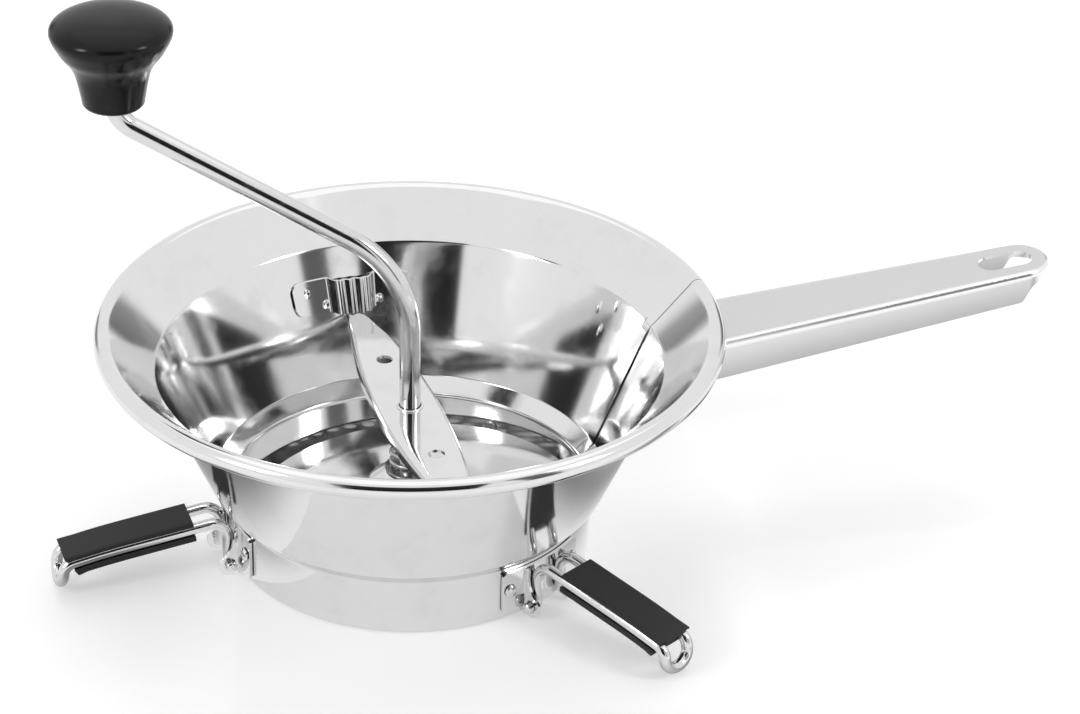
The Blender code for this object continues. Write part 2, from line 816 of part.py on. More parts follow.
# Route of one leg wire in the leg's own plane, from above the ear's bend up the rise and along the arm.
def legArmMoves():
    return (legRise,), (legArchRadius, -90.0 - legSlopeDeg), (legArmLength,), (legBowRadius, -legBowDeg)


def legRoute(moves):
    return pathOf((0.0, legEarBendRadius), 90.0, moves, 20.0)


def earInner():
    return legSpread + legEarBendRadius + runGap / 2.0


# Leg: a wire from one ear, up and out along the arm, round the hook and back to the other ear.
def legWirePoints():
    half = []
    stubEnd = earInner() + bracketSheet + legStub
    half.append((0.0, stubEnd, 0.0))
    bendSteps = 4
    bendCentre = legSpread + legEarBendRadius
    for step in range(bendSteps + 1):
        angle = pi / 2.0 * step / bendSteps
        half.append((0.0, bendCentre - legEarBendRadius * sin(angle), legEarBendRadius * (1.0 - cos(angle))))
    route = legRoute(legArmMoves() + ((legHookRadius, -legHookDeg), (legHookLength,)))
    for across, up, heading in route[1:]:
        half.append((across, legSpread, up))
    across, up, heading = route[-1]
    points = list(half)
    hookSteps = 8
    for step in range(1, hookSteps):
        angle = pi * step / hookSteps
        reach = legLoopReach * sin(angle)
        points.append((across + reach * cos(heading), legSpread * cos(angle), up + reach * sin(heading)))
    points += [(x, -y, z) for x, y, z in reversed(half)]
    return points


# Sleeve: a flat block along the arm with a groove in each side for the wire; its outer end leans over
# the hook.
def legSleeve(name, material):
    grooveRadius = legWireRadius + sleeveGrooveGap
    mouth = radians(sleeveMouthDeg)
    grooveSteps = 7
    lipHeight = grooveRadius * sin(mouth) + sleeveLipSlope
    shoulder = sleeveHalfWidth - sleeveCornerRadius
    half = [(shoulder, sleeveRise), (sleeveHalfWidth, sleeveRise - sleeveCornerRadius),
            (sleeveHalfWidth, lipHeight)]
    for step in range(grooveSteps + 1):
        angle = mouth + (2.0 * pi - 2.0 * mouth) * step / grooveSteps
        half.append((legSpread + grooveRadius * cos(angle), grooveRadius * sin(angle)))
    half += [(sleeveHalfWidth, -lipHeight), (sleeveHalfWidth, sleeveCornerRadius - sleeveDrop),
             (shoulder, -sleeveDrop)]
    outline = half + [(-across, lift) for across, lift in reversed(half)]
    start, end = sleeveStart, sleeveStart + sleeveLength
    archEnd = legArchRadius * (1.0 + sin(radians(legSlopeDeg)))
    arm = [station for station in legRoute(legArmMoves()) if station[0] > archEnd - mergeDistance]
    across, up, heading = arm[-1]
    arm.append((end + legHookRadius, up + (end + legHookRadius - across) * tan(heading), heading))
    stations = [station for station in arm if start < station[0] < end]
    for before, after in zip(arm, arm[1:]):
        for edge in (start, end):
            if before[0] < edge <= after[0]:
                share = (edge - before[0]) / (after[0] - before[0])
                stations.append(tuple(a + (b - a) * share for a, b in zip(before, after)))
    stations.sort()
    rings = []
    for across, up, heading in stations:
        lean = sleeveEndLean if across == stations[-1][0] else 0.0
        ring = []
        for sideways, lift in outline:
            ring.append((across + lift * (lean - sin(heading)), sideways, up + lift * cos(heading)))
        rings.append(ring)
    return lofted(name, rings, material)


def leg(index, steel, black):
    empty = legPivot(index)
    tail = str(index + 1)
    wirePiece = wire("leg_wire_" + tail, legWirePoints(), legWireRadius, 2, steel)
    sleeve = legSleeve("leg_sleeve_" + tail, black)
    for piece in (wirePiece, sleeve):
        piece.parent = empty


# Leg bracket: a plate on the foot's wall with two ears that carry the leg's pivot.
def legBracket(index, material):
    inner = footRadius + fitGap
    outer = inner + bracketSheet
    bottom, top = bracketBottom, bracketBottom + bracketHeight
    steps = 10
    rings = []
    for step in range(steps + 1):
        azimuth = radians(bracketHalfAngleDeg) * (2.0 * step / steps - 1.0)
        ring = []
        for radius, height in ((inner, bottom), (outer, bottom), (outer, top), (inner, top)):
            ring.append((radius * cos(azimuth), radius * sin(azimuth), height))
        rings.append(ring)
    made = lofted("leg_bracket_" + str(index + 1), rings, material)
    ears = [earPlate(side, bottom, top) for side in (-1.0, 1.0)]
    combine(made, ears, "UNION")
    reach = earInner() + bracketSheet + cutOverrun
    pivot = legPivotRadius()
    drills = [rodBetween("pivot_drill", (pivot, -reach, legPivotHeight), (pivot, reach, legPivotHeight),
                         legWireRadius + runGap, 12)]
    drills += [rivetDrill(side * rivetAzimuthDeg) for side in (-1.0, 1.0)]
    combine(made, drills, "DIFFERENCE")
    made.rotation_euler = (0.0, 0.0, radians(legAzimuthsDeg[index]))
    return made


# Ear: narrow along the plate's height, sloping out to a round lobe about the pivot.
def earPlate(side, bottom, top):
    near = earInner()
    far = near + bracketSheet
    root = sqrt((footRadius + fitGap + bracketSheet / 2.0) ** 2 - far * far)
    plate = sqrt((footRadius + fitGap + bracketSheet) ** 2 - near * near)
    pivot = legPivotRadius()
    outline = [(root, top), (plate + earRootRise, top), (plate + earRootRise, top - earRootHeight)]
    lobeSteps = 6
    for step in range(lobeSteps + 1):
        angle = radians(earLobeStartDeg - earLobeSweepDeg * step / lobeSteps)
        outline.append((pivot + earLobeRadius * cos(angle), legPivotHeight + earLobeRadius * sin(angle)))
    outline.append((root, bottom - earLobeRadius * earFootShare))
    points = [(across, side * near, up) for across, up in outline]
    return prism("ear", points, (0.0, side * bracketSheet, 0.0))


# Rivet: a domed head on the plate, a shank through plate and wall, and a flat tail inside.
def rivet(name, azimuthDeg, material):
    outside = footRadius + 2.0 * fitGap + bracketSheet
    inside = footRadius - bowlSheet - fitGap
    outline = [(0.0, inside - rivetTailHeight), (rivetTailRadius, inside - rivetTailHeight),
               (rivetTailRadius, inside), (rivetShankRadius, inside), (rivetShankRadius, outside),
               (rivetHeadRadius, outside)]
    domeSteps = 3
    for step in range(1, domeSteps):
        angle = pi / 2.0 * step / domeSteps
        outline.append((rivetHeadRadius * cos(angle), outside + rivetHeadHeight * sin(angle)))
    outline.append((0.0, outside + rivetHeadHeight))
    made = turned(name, outline, 8, material)
    made.location = (0.0, 0.0, rivetHeight)
    made.rotation_euler = (0.0, radians(90.0), radians(azimuthDeg))
    return made


def main():
    clearScene()
    steel = makeMaterial("polished_steel", (0.78, 0.78, 0.79), 1.0, 0.12)
    satin = makeMaterial("satin_steel", (0.72, 0.72, 0.73), 1.0, 0.28)
    springSteel = makeMaterial("spring_steel", (0.60, 0.60, 0.62), 1.0, 0.25)
    gloss = makeMaterial("gloss_black", (0.012, 0.012, 0.013), 0.0, 0.12)
    matte = makeMaterial("matte_black", (0.022, 0.022, 0.023), 0.0, 0.55)
    bowlShell(steel)
    handle(satin)
    crossbarBracket("crossbar_bracket_far", 90.0, steel)
    crossbarBracket("crossbar_bracket_near", -90.0, steel)
    crossbar(steel)
    crankRod(steel)
    knob(gloss)
    knobRing(springSteel)
    bladeHub(steel)
    hubBoss(springSteel)
    hubPin(springSteel)
    washerBore = rodRadius + runGap
    flatRing("spring_washer_lower", washerBore, washerRadius, hubTop + fitGap, washerSheet, 20, springSteel)
    upper = barTopHeight - barSheet - collarDrop - fitGap - washerSheet
    flatRing("spring_washer_upper", washerBore, washerRadius, upper, washerSheet, 20, springSteel)
    spring(springSteel)
    blade(steel)
    disc(steel)
    for index in range(len(legAzimuthsDeg)):
        leg(index, steel, matte)
        legBracket(index, steel)
        for count, side in enumerate((-1.0, 1.0)):
            name = "leg_rivet_" + str(2 * index + count + 1)
            rivet(name, legAzimuthsDeg[index] + side * rivetAzimuthDeg, springSteel)
    bpy.context.view_layer.update()
    print("food mill:", sum(item.type == "MESH" for item in bpy.data.objects), "pieces")


main()
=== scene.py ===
import json
from math import acos, asin, atan2, cos, degrees, hypot, pi, radians, sin, tan

import bmesh
import bpy
import numpy as np
from mathutils import Euler, Matrix, Vector


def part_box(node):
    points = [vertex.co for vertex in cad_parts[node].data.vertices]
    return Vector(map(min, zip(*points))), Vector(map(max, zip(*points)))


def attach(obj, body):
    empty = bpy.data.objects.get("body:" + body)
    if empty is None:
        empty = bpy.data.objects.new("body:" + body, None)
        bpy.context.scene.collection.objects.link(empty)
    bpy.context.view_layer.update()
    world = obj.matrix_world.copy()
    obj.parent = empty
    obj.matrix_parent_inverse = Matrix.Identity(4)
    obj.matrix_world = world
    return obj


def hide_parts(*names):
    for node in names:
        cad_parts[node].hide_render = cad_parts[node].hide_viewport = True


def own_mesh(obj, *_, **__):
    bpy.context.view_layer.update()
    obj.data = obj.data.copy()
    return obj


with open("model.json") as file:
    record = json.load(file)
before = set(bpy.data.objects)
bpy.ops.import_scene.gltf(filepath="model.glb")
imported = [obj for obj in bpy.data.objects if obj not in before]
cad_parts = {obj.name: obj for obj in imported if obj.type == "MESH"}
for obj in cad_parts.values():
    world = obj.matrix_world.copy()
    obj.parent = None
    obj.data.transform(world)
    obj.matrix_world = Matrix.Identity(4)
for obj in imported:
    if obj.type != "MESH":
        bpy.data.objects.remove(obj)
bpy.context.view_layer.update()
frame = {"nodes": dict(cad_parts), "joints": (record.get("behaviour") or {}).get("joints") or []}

nodes = frame["nodes"]
mm = 0.001
tau = 2.0 * pi


# ---- shader maths: a socket that takes part in plain expressions
class Wire:
    def __init__(self, tree, socket=None):
        self.tree = tree
        self.socket = socket

    # any node: its type, its settings, the values or links of its sockets, and the output to go on with
    def make(self, kind, settings=None, sockets=None, output=0):
        node = self.tree.nodes.new(kind)
        for key, value in (settings or {}).items():
            setattr(node, key, value)
        for key, value in (sockets or {}).items():
            if isinstance(value, Wire):
                self.tree.links.new(value.socket, node.inputs[key])
            else:
                node.inputs[key].default_value = value
        return Wire(self.tree, node.outputs[output])

    def maths(self, operation, *values):
        return self.make("ShaderNodeMath", {"operation": operation}, dict(enumerate(values)))

    def __add__(self, other):
        return self.maths("ADD", self, other)

    def __radd__(self, other):
        return self.maths("ADD", other, self)

    def __sub__(self, other):
        return self.maths("SUBTRACT", self, other)

    def __rsub__(self, other):
        return self.maths("SUBTRACT", other, self)

    def __mul__(self, other):
        return self.maths("MULTIPLY", self, other)

    def __rmul__(self, other):
        return self.maths("MULTIPLY", other, self)

    def __truediv__(self, other):
        return self.maths("DIVIDE", self, other)

    def __pow__(self, other):
        return self.maths("POWER", self, other)

    def size(self):
        return self.maths("ABSOLUTE", self)

    # soft step from 0 at low to 1 at high
    def between(self, low, high):
        return self.make("ShaderNodeMapRange", {"interpolation_type": "SMOOTHSTEP"},
                         {"Value": self, "From Min": low, "From Max": high})

    # first colour where this is 0, second where it is 1
    def mixed(self, first, second):
        return self.make("ShaderNodeMix", {"data_type": "RGBA"}, {0: self, 6: first, 7: second}, 2)

    def parts(self):
        node = self.make("ShaderNodeSeparateXYZ", None, {"Vector": self}).socket.node
        return [Wire(self.tree, socket) for socket in node.outputs]

    def vector(self, x, y, z):
        return self.make("ShaderNodeCombineXYZ", None, {"X": x, "Y": y, "Z": z})

    def noise(self, scale, detail=2.0, rough=0.5):
        return self.make("ShaderNodeTexNoise", None,
                         {"Vector": self, "Scale": scale, "Detail": detail, "Roughness": rough})

    def bump(self, distance, before=None):
        sockets = {"Height": self, "Distance": distance, "Strength": 1.0}
        if before:
            sockets["Normal"] = before
        return self.make("ShaderNodeBump", None, sockets)

    # 1 for a ray that shows the background straight, mirrored or through glass, 0 for one that only lights
    def showingRay(self):
        shown = [self.make("ShaderNodeLightPath", output=key)
                 for key in ("Is Camera Ray", "Is Glossy Ray", "Is Transmission Ray")]
        return shown[0] + shown[1] + shown[2]

    # the light that leaves the surface, in place of what the material had
    def shine(self):
        self.tree.links.new(self.socket, self.tree.nodes["Material Output"].inputs["Surface"])


def grey(level):
    return (level, level, level, 1)


# New material, its Principled node, and Object coordinates
def startMaterial(name):
    material = bpy.data.materials.new(name)
    material.use_nodes = True
    tree = material.node_tree
    return material, tree.nodes["Principled BSDF"], Wire(tree).make("ShaderNodeTexCoord", output="Object")


def feed(shader, **links):
    for key, value in links.items():
        socket = shader.inputs[key.replace("_", " ")]
        if isinstance(value, Wire):
            value.tree.links.new(value.socket, socket)
        else:
            socket.default_value = value


# Polished steel: faint rings round the Z axis from spinning, slow waviness of the sheet, thin smudges
polish = {"colour": 0.76, "shade": 0.70, "rough": 0.085, "grainRough": 0.02, "smudge": 0.07,
          "smudgeWidth": 16 * mm, "ringPitch": 0.22 * mm, "ringHeight": 0.0006 * mm, "ringClimb": 1.31,
          "grainWidth": 9 * mm, "waveWidth": 34 * mm, "waveHeight": 0.045 * mm}


# The grain of a spun piece goes round Z in rings, that of a pressed one lies level. A seam adds two lines of
# painted shade for the shadow of the overlapped sheet's step, measured along the circle from the X axis: the
# joint, which drifts sideways as the flare widens, and the lap's edge, which is fainter and stays on the
# cone.
def polishedSteel(name, style, spun=True, seam=None):
    material, shader, place = startMaterial(name)
    x, y, z = place.parts()
    if spun:
        radius = (x * x + y * y) ** 0.5
        rings = (radius + z * style["ringClimb"]) / style["ringPitch"]
        grain = place.vector(x / radius, y / radius, rings * 0.5).noise(1.0, 3.0, 0.6)
    else:
        width = style["grainWidth"]
        grain = place.vector(x / width, y / width, z / style["ringPitch"]).noise(1.0)
    waves = place.noise(1.0 / style["waveWidth"], 1.0, 0.4)
    smudge = place.noise(1.0 / style["smudgeWidth"], 4.0, 0.62).between(0.47, 0.72)
    tone = (grain * 0.5 + smudge * 0.5).mixed(grey(style["colour"]), grey(style["shade"]))
    if seam:
        half = seam["half"]
        reach = place.maths("ARCTAN2", y, x) * radius
        climb = (radius - seam["from"]) / (seam["to"] - seam["from"])
        line = seam["joint"] + climb.make("ShaderNodeClamp", None, {"Value": climb}) * seam["drift"]
        joint = 1.0 - (reach - line).size().between(half * 0.5, half * 1.5)
        lap = 1.0 - (reach - seam["lap"]).size().between(half * 0.8, half * 2.2)
        onCone = 1.0 - radius.between(seam["from"], seam["from"] + 0.5 * mm)
        above = z.between(seam["above"], seam["above"] + 2 * mm)
        # Painted shade: the joint and the lap's edge are drawn dark for the shadow of the overlapped sheet's
        # step.
        stepShade = place.maths("MAXIMUM", joint, lap * onCone * seam["lapShare"])
        tone = (stepShade * above).mixed(tone, seam["dark"])
    feed(shader, Base_Color=tone, Metallic=1.0,
         Roughness=style["rough"] + smudge * style["smudge"] + grain * style["grainRough"],
         Normal=grain.bump(style["ringHeight"], waves.bump(style["waveHeight"])))
    return material


# Satin steel of the handle: long fine scratches along X on the top; the folded sides get a lighter colour, a
# painted sheen for the bright floor that they mirror
satin = {"colour": 0.68, "shade": 0.62, "side": 0.88, "topRough": 0.32, "sideRough": 0.12,
         "scratchRough": 0.06, "scratchWidth": 0.10 * mm, "scratchLength": 14 * mm,
         "scratchHeight": 0.0022 * mm, "sideScratch": 0.25, "cloudRough": 0.03, "cloudWidth": 22 * mm,
         "waveWidth": 28 * mm, "waveHeight": 0.05 * mm}


def satinSteel(name, style):
    material, shader, place = startMaterial(name)
    x, y, z = place.parts()
    top = place.make("ShaderNodeNewGeometry", output="Normal").parts()[2].between(0.80, 0.97)
    scratches = place.vector(x / style["scratchLength"], y / style["scratchWidth"],
                             z / style["scratchWidth"]).noise(1.0, 3.0, 0.6)
    cloud = place.noise(1.0 / style["cloudWidth"], 3.0)
    tone = (scratches * 0.6 + cloud * 0.4).mixed(grey(style["colour"]), grey(style["shade"]))
    rough = style["sideRough"] + top * (style["topRough"] - style["sideRough"])
    waves = place.noise(1.0 / style["waveWidth"], 1.0).bump(style["waveHeight"])
    marks = scratches * (style["sideScratch"] + top * (1 - style["sideScratch"]))
    # Painted sheen: the folded sides' lighter base colour stands for the bright floor they mirror; their
    # lower roughness is real.
    feed(shader, Base_Color=top.mixed(grey(style["side"]), tone), Metallic=1.0,
         Roughness=rough + scratches * style["scratchRough"] + cloud * style["cloudRough"],
         Normal=marks.bump(style["scratchHeight"], waves))
    return material


# Drawn wire and small fittings: bright steel with fine drawing marks
wireStyle = {"colour": 0.72, "shade": 0.64, "rough": 0.10, "cloudRough": 0.09, "mark": 0.35 * mm,
             "markHeight": 0.001 * mm, "cloudWidth": 7 * mm, "cloudHeight": 0.02 * mm}


def drawnSteel(name, style):
    material, shader, place = startMaterial(name)
    fine = place.noise(1.0 / style["mark"])
    cloud = place.noise(1.0 / style["cloudWidth"], 4.0, 0.6)
    tone = (fine * 0.4 + cloud * 0.6).mixed(grey(style["colour"]), grey(style["shade"]))
    feed(shader, Base_Color=tone, Metallic=1.0,
         Roughness=style["rough"] + cloud.between(0.45, 0.7) * style["cloudRough"],
         Normal=fine.bump(style["markHeight"], cloud.bump(style["cloudHeight"])))
    return material


# Gloss black plastic of the knob: moulded skin with a slight orange peel and a few rubbed marks
gloss = {"colour": (0.009, 0.009, 0.010, 1), "worn": (0.018, 0.018, 0.019, 1), "rough": 0.17,
         "rubRough": 0.07, "speckRough": 0.05, "rubWidth": 9 * mm, "speckWidth": 0.5 * mm, "peel": 1.6 * mm,
         "peelHeight": 0.006 * mm, "specular": 0.18}


def glossBlack(name, style):
    material, shader, place = startMaterial(name)
    rubbed = place.noise(1.0 / style["rubWidth"], 5.0, 0.6).between(0.50, 0.75)
    speck = place.noise(1.0 / style["speckWidth"], 1.0).between(0.66, 0.74)
    feed(shader, Base_Color=(rubbed * 0.6 + speck * 0.3).mixed(style["colour"], style["worn"]),
         Roughness=style["rough"] + rubbed * style["rubRough"] + speck * style["speckRough"],
         Normal=place.noise(1.0 / style["peel"]).bump(style["peelHeight"]),
         Specular_IOR_Level=style["specular"])
    return material


# Matte black sleeve: fine eroded grain, slightly greyed where it is handled
matte = {"colour": (0.017, 0.017, 0.018, 1), "worn": (0.034, 0.034, 0.035, 1), "rough": 0.50,
         "grainRough": 0.12, "cloudRough": 0.06, "grain": 0.45 * mm, "grainHeight": 0.02 * mm,
         "cloudWidth": 11 * mm, "specular": 0.28}


def matteBlack(name, style):
    material, shader, place = startMaterial(name)
    grain = place.noise(1.0 / style["grain"], 3.0, 0.6)
    cloud = place.noise(1.0 / style["cloudWidth"], 3.0)
    feed(shader, Base_Color=(grain * 0.45 + cloud * 0.4).mixed(style["colour"], style["worn"]),
         Roughness=style["rough"] + grain * style["grainRough"] + cloud * style["cloudRough"],
         Normal=grain.bump(style["grainHeight"]), Specular_IOR_Level=style["specular"])
    return material


steel = polishedSteel("polishedSteel", polish)
pressedSteel = polishedSteel("pressedSteel", {**polish, "rough": 0.075, "waveWidth": 20 * mm}, False)
handleSteel = satinSteel("satinSteel", satin)
wireSteel = drawnSteel("wireSteel", wireStyle)
springSteel = drawnSteel("springSteel", {**wireStyle, "colour": 0.54, "shade": 0.46, "rough": 0.20})
knobBlack = glossBlack("glossBlack", gloss)
sleeveBlack = matteBlack("matteBlack", matte)
print("scene: materials made")


# ---- shapes
# Faces of a grid of points: each quad joins a point with the next ones; a wrapped direction closes on
# itself.
def gridFaces(rows, columns, wrapRows, wrapColumns):
    i, j = np.meshgrid(np.arange(rows - (not wrapRows)), np.arange(columns - (not wrapColumns)),
                       indexing="ij")
    nextRow = (i + 1) % rows
    nextColumn = (j + 1) % columns
    corners = (i * columns + j, i * columns + nextColumn,
               nextRow * columns + nextColumn, nextRow * columns + j)
    return np.stack(corners, -1).reshape(-1, 4)


# Mesh of a grid of points; caps close the first and the last row as flat faces.
def gridMesh(name, points, wrapRows=False, wrapColumns=True, caps=False):
    rows, columns = points.shape[:2]
    faces = gridFaces(rows, columns, wrapRows, wrapColumns).tolist()
    if caps:
        faces += [list(range(columns)), list(range((rows - 1) * columns, rows * columns))]
    mesh = bpy.data.meshes.new(name)
    mesh.from_pydata(points.reshape(-1, 3).tolist(), [], faces)
    return mesh


def addObject(name, data):
    made = bpy.data.objects.new(name, data)
    bpy.context.scene.collection.objects.link(made)
    return made


def smoothShade(mesh, sharpDeg):
    mesh.shade_smooth()
    mesh.set_sharp_from_angle(angle=radians(sharpDeg))


# Object from one or more meshes: doubles merged, faces turned outwards, edges over sharpDeg kept sharp.
def objectOf(name, meshes, material, sharpDeg=35.0):
    bm = bmesh.new()
    for mesh in meshes:
        bm.from_mesh(mesh)
        bpy.data.meshes.remove(mesh)
    bmesh.ops.remove_doubles(bm, verts=bm.verts, dist=1e-7)
    bmesh.ops.dissolve_degenerate(bm, dist=1e-8, edges=bm.edges)
    bmesh.ops.recalc_face_normals(bm, faces=bm.faces)
    whole = bpy.data.meshes.new(name)
    bm.to_mesh(whole)
    bm.free()
    smoothShade(whole, sharpDeg)
    whole.materials.append(material)
    return addObject(name, whole)


# Piece of the scene: rides on its body and stands for its CAD nodes, which it hides; its slot's finish is not
# used.
def dress(made, body, slotName, *replaced):
    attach(made, body)
    if replaced:
        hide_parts(*replaced)
    return made


def shownMesh(made):
    bpy.context.view_layer.update()
    return bpy.data.meshes.new_from_object(made.evaluated_get(bpy.context.evaluated_depsgraph_get()))


# The object's modifiers applied, with a boolean for each helper, which goes afterwards.
def carve(made, helpers, operation="DIFFERENCE", sharpDeg=35.0):
    for helper in helpers:
        step = made.modifiers.new("cut", "BOOLEAN")
        step.operation = operation
        step.solver = "EXACT"
        step.object = helper
    mesh = shownMesh(made)
    made.modifiers.clear()
    made.data = mesh
    smoothShade(mesh, sharpDeg)
    for helper in helpers:
        bpy.data.objects.remove(helper, do_unlink=True)


# Edges sharper than limitDeg rounded over the given width
def soften(made, width, limitDeg=40.0):
    step = made.modifiers.new("edge", "BEVEL")
    step.width = width
    step.segments = 2
    step.limit_method = "ANGLE"
    step.angle_limit = radians(limitDeg)


# Points round Z: x is the radius times cos of the azimuth, y the radius times its sin, z the height.
def roundZ(radius, azimuth, height):
    return np.stack(np.broadcast_arrays(radius * np.cos(azimuth), radius * np.sin(azimuth), height), -1)


# Turned surface: each outline point (radius, height) goes round Z at every angle.
def turnedPoints(outline, steps):
    outline = np.asarray(outline, float)
    angle = np.linspace(0.0, tau, steps, endpoint=False)[:, None]
    return roundZ(outline[:, 0], angle, outline[:, 1])


def turned(name, outline, steps, material, sharpDeg=35.0):
    return objectOf(name, [gridMesh(name, turnedPoints(outline, steps), True, True)], material, sharpDeg)


# Plate round Z: along each azimuth one face's radii and heights out, then the other face's back.
def plate(name, azimuth, radii, heights, material, sharpDeg=40.0):
    radius = np.hstack([radii[0], radii[1][:, ::-1]])
    height = np.hstack([heights[0], heights[1][:, ::-1]])
    points = roundZ(radius, azimuth[:, None], height)
    return objectOf(name, [gridMesh(name, points, caps=True)], material, sharpDeg)


# How far a plate's edge draws in near its end: a quarter circle of the corner's radius, short of its whole.
def cornerTrim(fromEnd, corner, most):
    missing = np.clip(corner - fromEnd, 0, corner)
    return np.minimum(corner - np.sqrt(np.maximum(corner ** 2 - missing ** 2, 0)), corner * most)


# Arc in a plane: the centre plus the radius times (cos, sin) of even angles from first to last.
def arc(centre, radius, first, last, count):
    angle = np.linspace(first, last, count)
    return np.column_stack([centre[0] + radius * np.cos(angle), centre[1] + radius * np.sin(angle)])


# Runs and bends in a plane as (across, up, heading) rows: a run is (length,), a bend (radius, turn in
# degrees).
def planePath(start, headingDeg, moves, stepDeg, runStep=None):
    place = np.array(start, float)
    heading = radians(headingDeg)
    rows = [np.array([[*place, heading]])]
    for move in moves:
        if len(move) == 1:
            count = max(1, int(move[0] / runStep)) if runStep else 1
            share = np.arange(1, count + 1)[:, None] / count
            run = place + share * move[0] * np.array([cos(heading), sin(heading)])
            rows.append(np.column_stack([run, np.full(count, heading)]))
            place = run[-1]
            continue
        radius, turn = move[0], radians(move[1])
        side = np.sign(turn)
        angle = heading + turn * np.linspace(0, 1, max(2, int(abs(move[1]) / stepDeg) + 1) + 1)[1:]
        centre = place + side * radius * np.array([-sin(heading), cos(heading)])
        bend = centre + side * radius * np.column_stack([np.sin(angle), -np.cos(angle)])
        rows.append(np.column_stack([bend, angle]))
        place = bend[-1]
        heading += turn
    return np.vstack(rows)


# Smooth curve through points (Catmull-Rom), with the same number of steps in each span.
def smoothCurve(points, steps):
    points = np.asarray(points, float)
    ends = np.vstack([2 * points[:1] - points[1:2], points, 2 * points[-1:] - points[-2:-1]])
    t = np.linspace(0, 1, steps, endpoint=False)[None, :, None]
    a, b, c, d = (ends[k:len(ends) - 3 + k, None, :] for k in range(4))
    spans = 0.5 * (2 * b + (c - a) * t + (2 * a - 5 * b + 4 * c - d) * t ** 2
                   + (3 * b - a - 3 * c + d) * t ** 3)
    return np.vstack([spans.reshape(-1, points.shape[1]), points[-1:]])


# Line through corners, in a plane, with each inner corner rounded by its radius.
def roundedLine(corners, radii, steps=8):
    corners = np.asarray(corners, float)
    line = [corners[:1]]
    for before, corner, after, radius in zip(corners, corners[1:], corners[2:], radii):
        back = (before - corner) / np.linalg.norm(before - corner)
        ahead = (after - corner) / np.linalg.norm(after - corner)
        half = np.arccos(np.clip(back @ ahead, -1, 1)) / 2
        middle = (back + ahead) / np.linalg.norm(back + ahead)
        centre = corner + middle * radius / sin(half)
        first = corner + back * radius / tan(half) - centre
        last = corner + ahead * radius / tan(half) - centre
        opening = pi - 2 * half
        share = np.linspace(0, 1, steps + 1)[:, None]
        bend = (first * np.sin((1 - share) * opening) + last * np.sin(share * opening)) / sin(opening)
        line.append(centre + bend)
    line.append(corners[-1:])
    return np.vstack(line)


# The same line with points added every step along it
def fillRuns(line, step):
    length = np.concatenate([[0], np.cumsum(np.linalg.norm(np.diff(line, axis=0), axis=1))])
    spots = np.unique(np.concatenate([length, np.arange(0, length[-1], step)]).round(7))
    spots = spots[np.concatenate([[True], np.diff(spots) > 1e-5])]
    return np.column_stack([np.interp(spots, length, line[:, 0]), np.interp(spots, length, line[:, 1])])


# Directions along a line of points: each is the mean of the runs before and after it, scaled to length 1.
def alongLine(line):
    run = np.diff(line, axis=0)
    run /= np.linalg.norm(run, axis=1)[:, None]
    after = np.vstack([run, run[-1:]])
    along = np.vstack([run[:1], run]) + after
    along /= np.linalg.norm(along, axis=1)[:, None]
    return along, after


# Unit normals to the left of a plane line, mitred so that a sheet keeps its thickness round bends.
def leftNormals(line):
    along, after = alongLine(line)
    return np.column_stack([-along[:, 1], along[:, 0]]) / np.sum(along * after, axis=1)[:, None]


# Closed outline of a sheet: half its thickness to the left of the line, then back on the right.
def sheetOutline(line, sheet):
    across = leftNormals(line) * sheet / 2
    return np.vstack([line + across, (line - across)[::-1]])


# Tube: a circle carried along a path in space; its frame turns as little as it can, and ends may be domed.
def tube(name, path, radius, sides, material, dome=0.0, sharpDeg=50.0):
    path = np.asarray(path, float)
    along = alongLine(path)[0]
    first = np.cross(along[0], (0.31, 0.47, 0.83))
    frames = np.empty_like(path)
    for index, ahead in enumerate(along):
        first = first - ahead * (first @ ahead)
        first = first / np.linalg.norm(first)
        frames[index] = first
    other = np.cross(along, frames)
    size = np.full(len(path), radius)
    if dome:
        turn = np.linspace(0, pi / 2, 7)[1:]
        ends = len(turn)
        startCap = path[:1] - along[:1] * (dome * np.sin(turn))[::-1, None]
        endCap = path[-1:] + along[-1:] * (dome * np.sin(turn))[:, None]
        shrink = radius * np.cos(turn) + 1e-6
        path = np.vstack([startCap, path, endCap])
        size = np.concatenate([shrink[::-1], size, shrink])
        frames, other = (np.vstack([np.repeat(item[:1], ends, 0), item, np.repeat(item[-1:], ends, 0)])
                         for item in (frames, other))
    angle = np.linspace(0, tau, sides, endpoint=False)[None, :, None]
    ring = np.cos(angle) * frames[:, None] + np.sin(angle) * other[:, None]
    points = path[:, None] + size[:, None, None] * ring
    return objectOf(name, [gridMesh(name, points, caps=True)], material, sharpDeg)


# Shares from -1 to 1 that stand closer together towards both ends: 0.7 of a sine and 0.3 of the even share
def endShares(count):
    even = np.linspace(-1, 1, count)
    return 0.7 * np.sin(even * pi / 2) + 0.3 * even


# From 0 at low to 1 at high: the share squared times 3 less twice the share
def smoothStep(value, low, high):
    share = np.clip((value - low) / (high - low), 0, 1)
    return share * share * (3 - 2 * share)


# Points turned round Z by an azimuth
def turnZ(azimuthDeg, points):
    turn = radians(azimuthDeg)
    x, y, z = points[..., 0], points[..., 1], points[..., 2]
    return np.stack([x * cos(turn) - y * sin(turn), x * sin(turn) + y * cos(turn), z], -1)


def drill(start, end, radius, sides=40):
    return tube("drill", (start, end), radius, sides, steel)


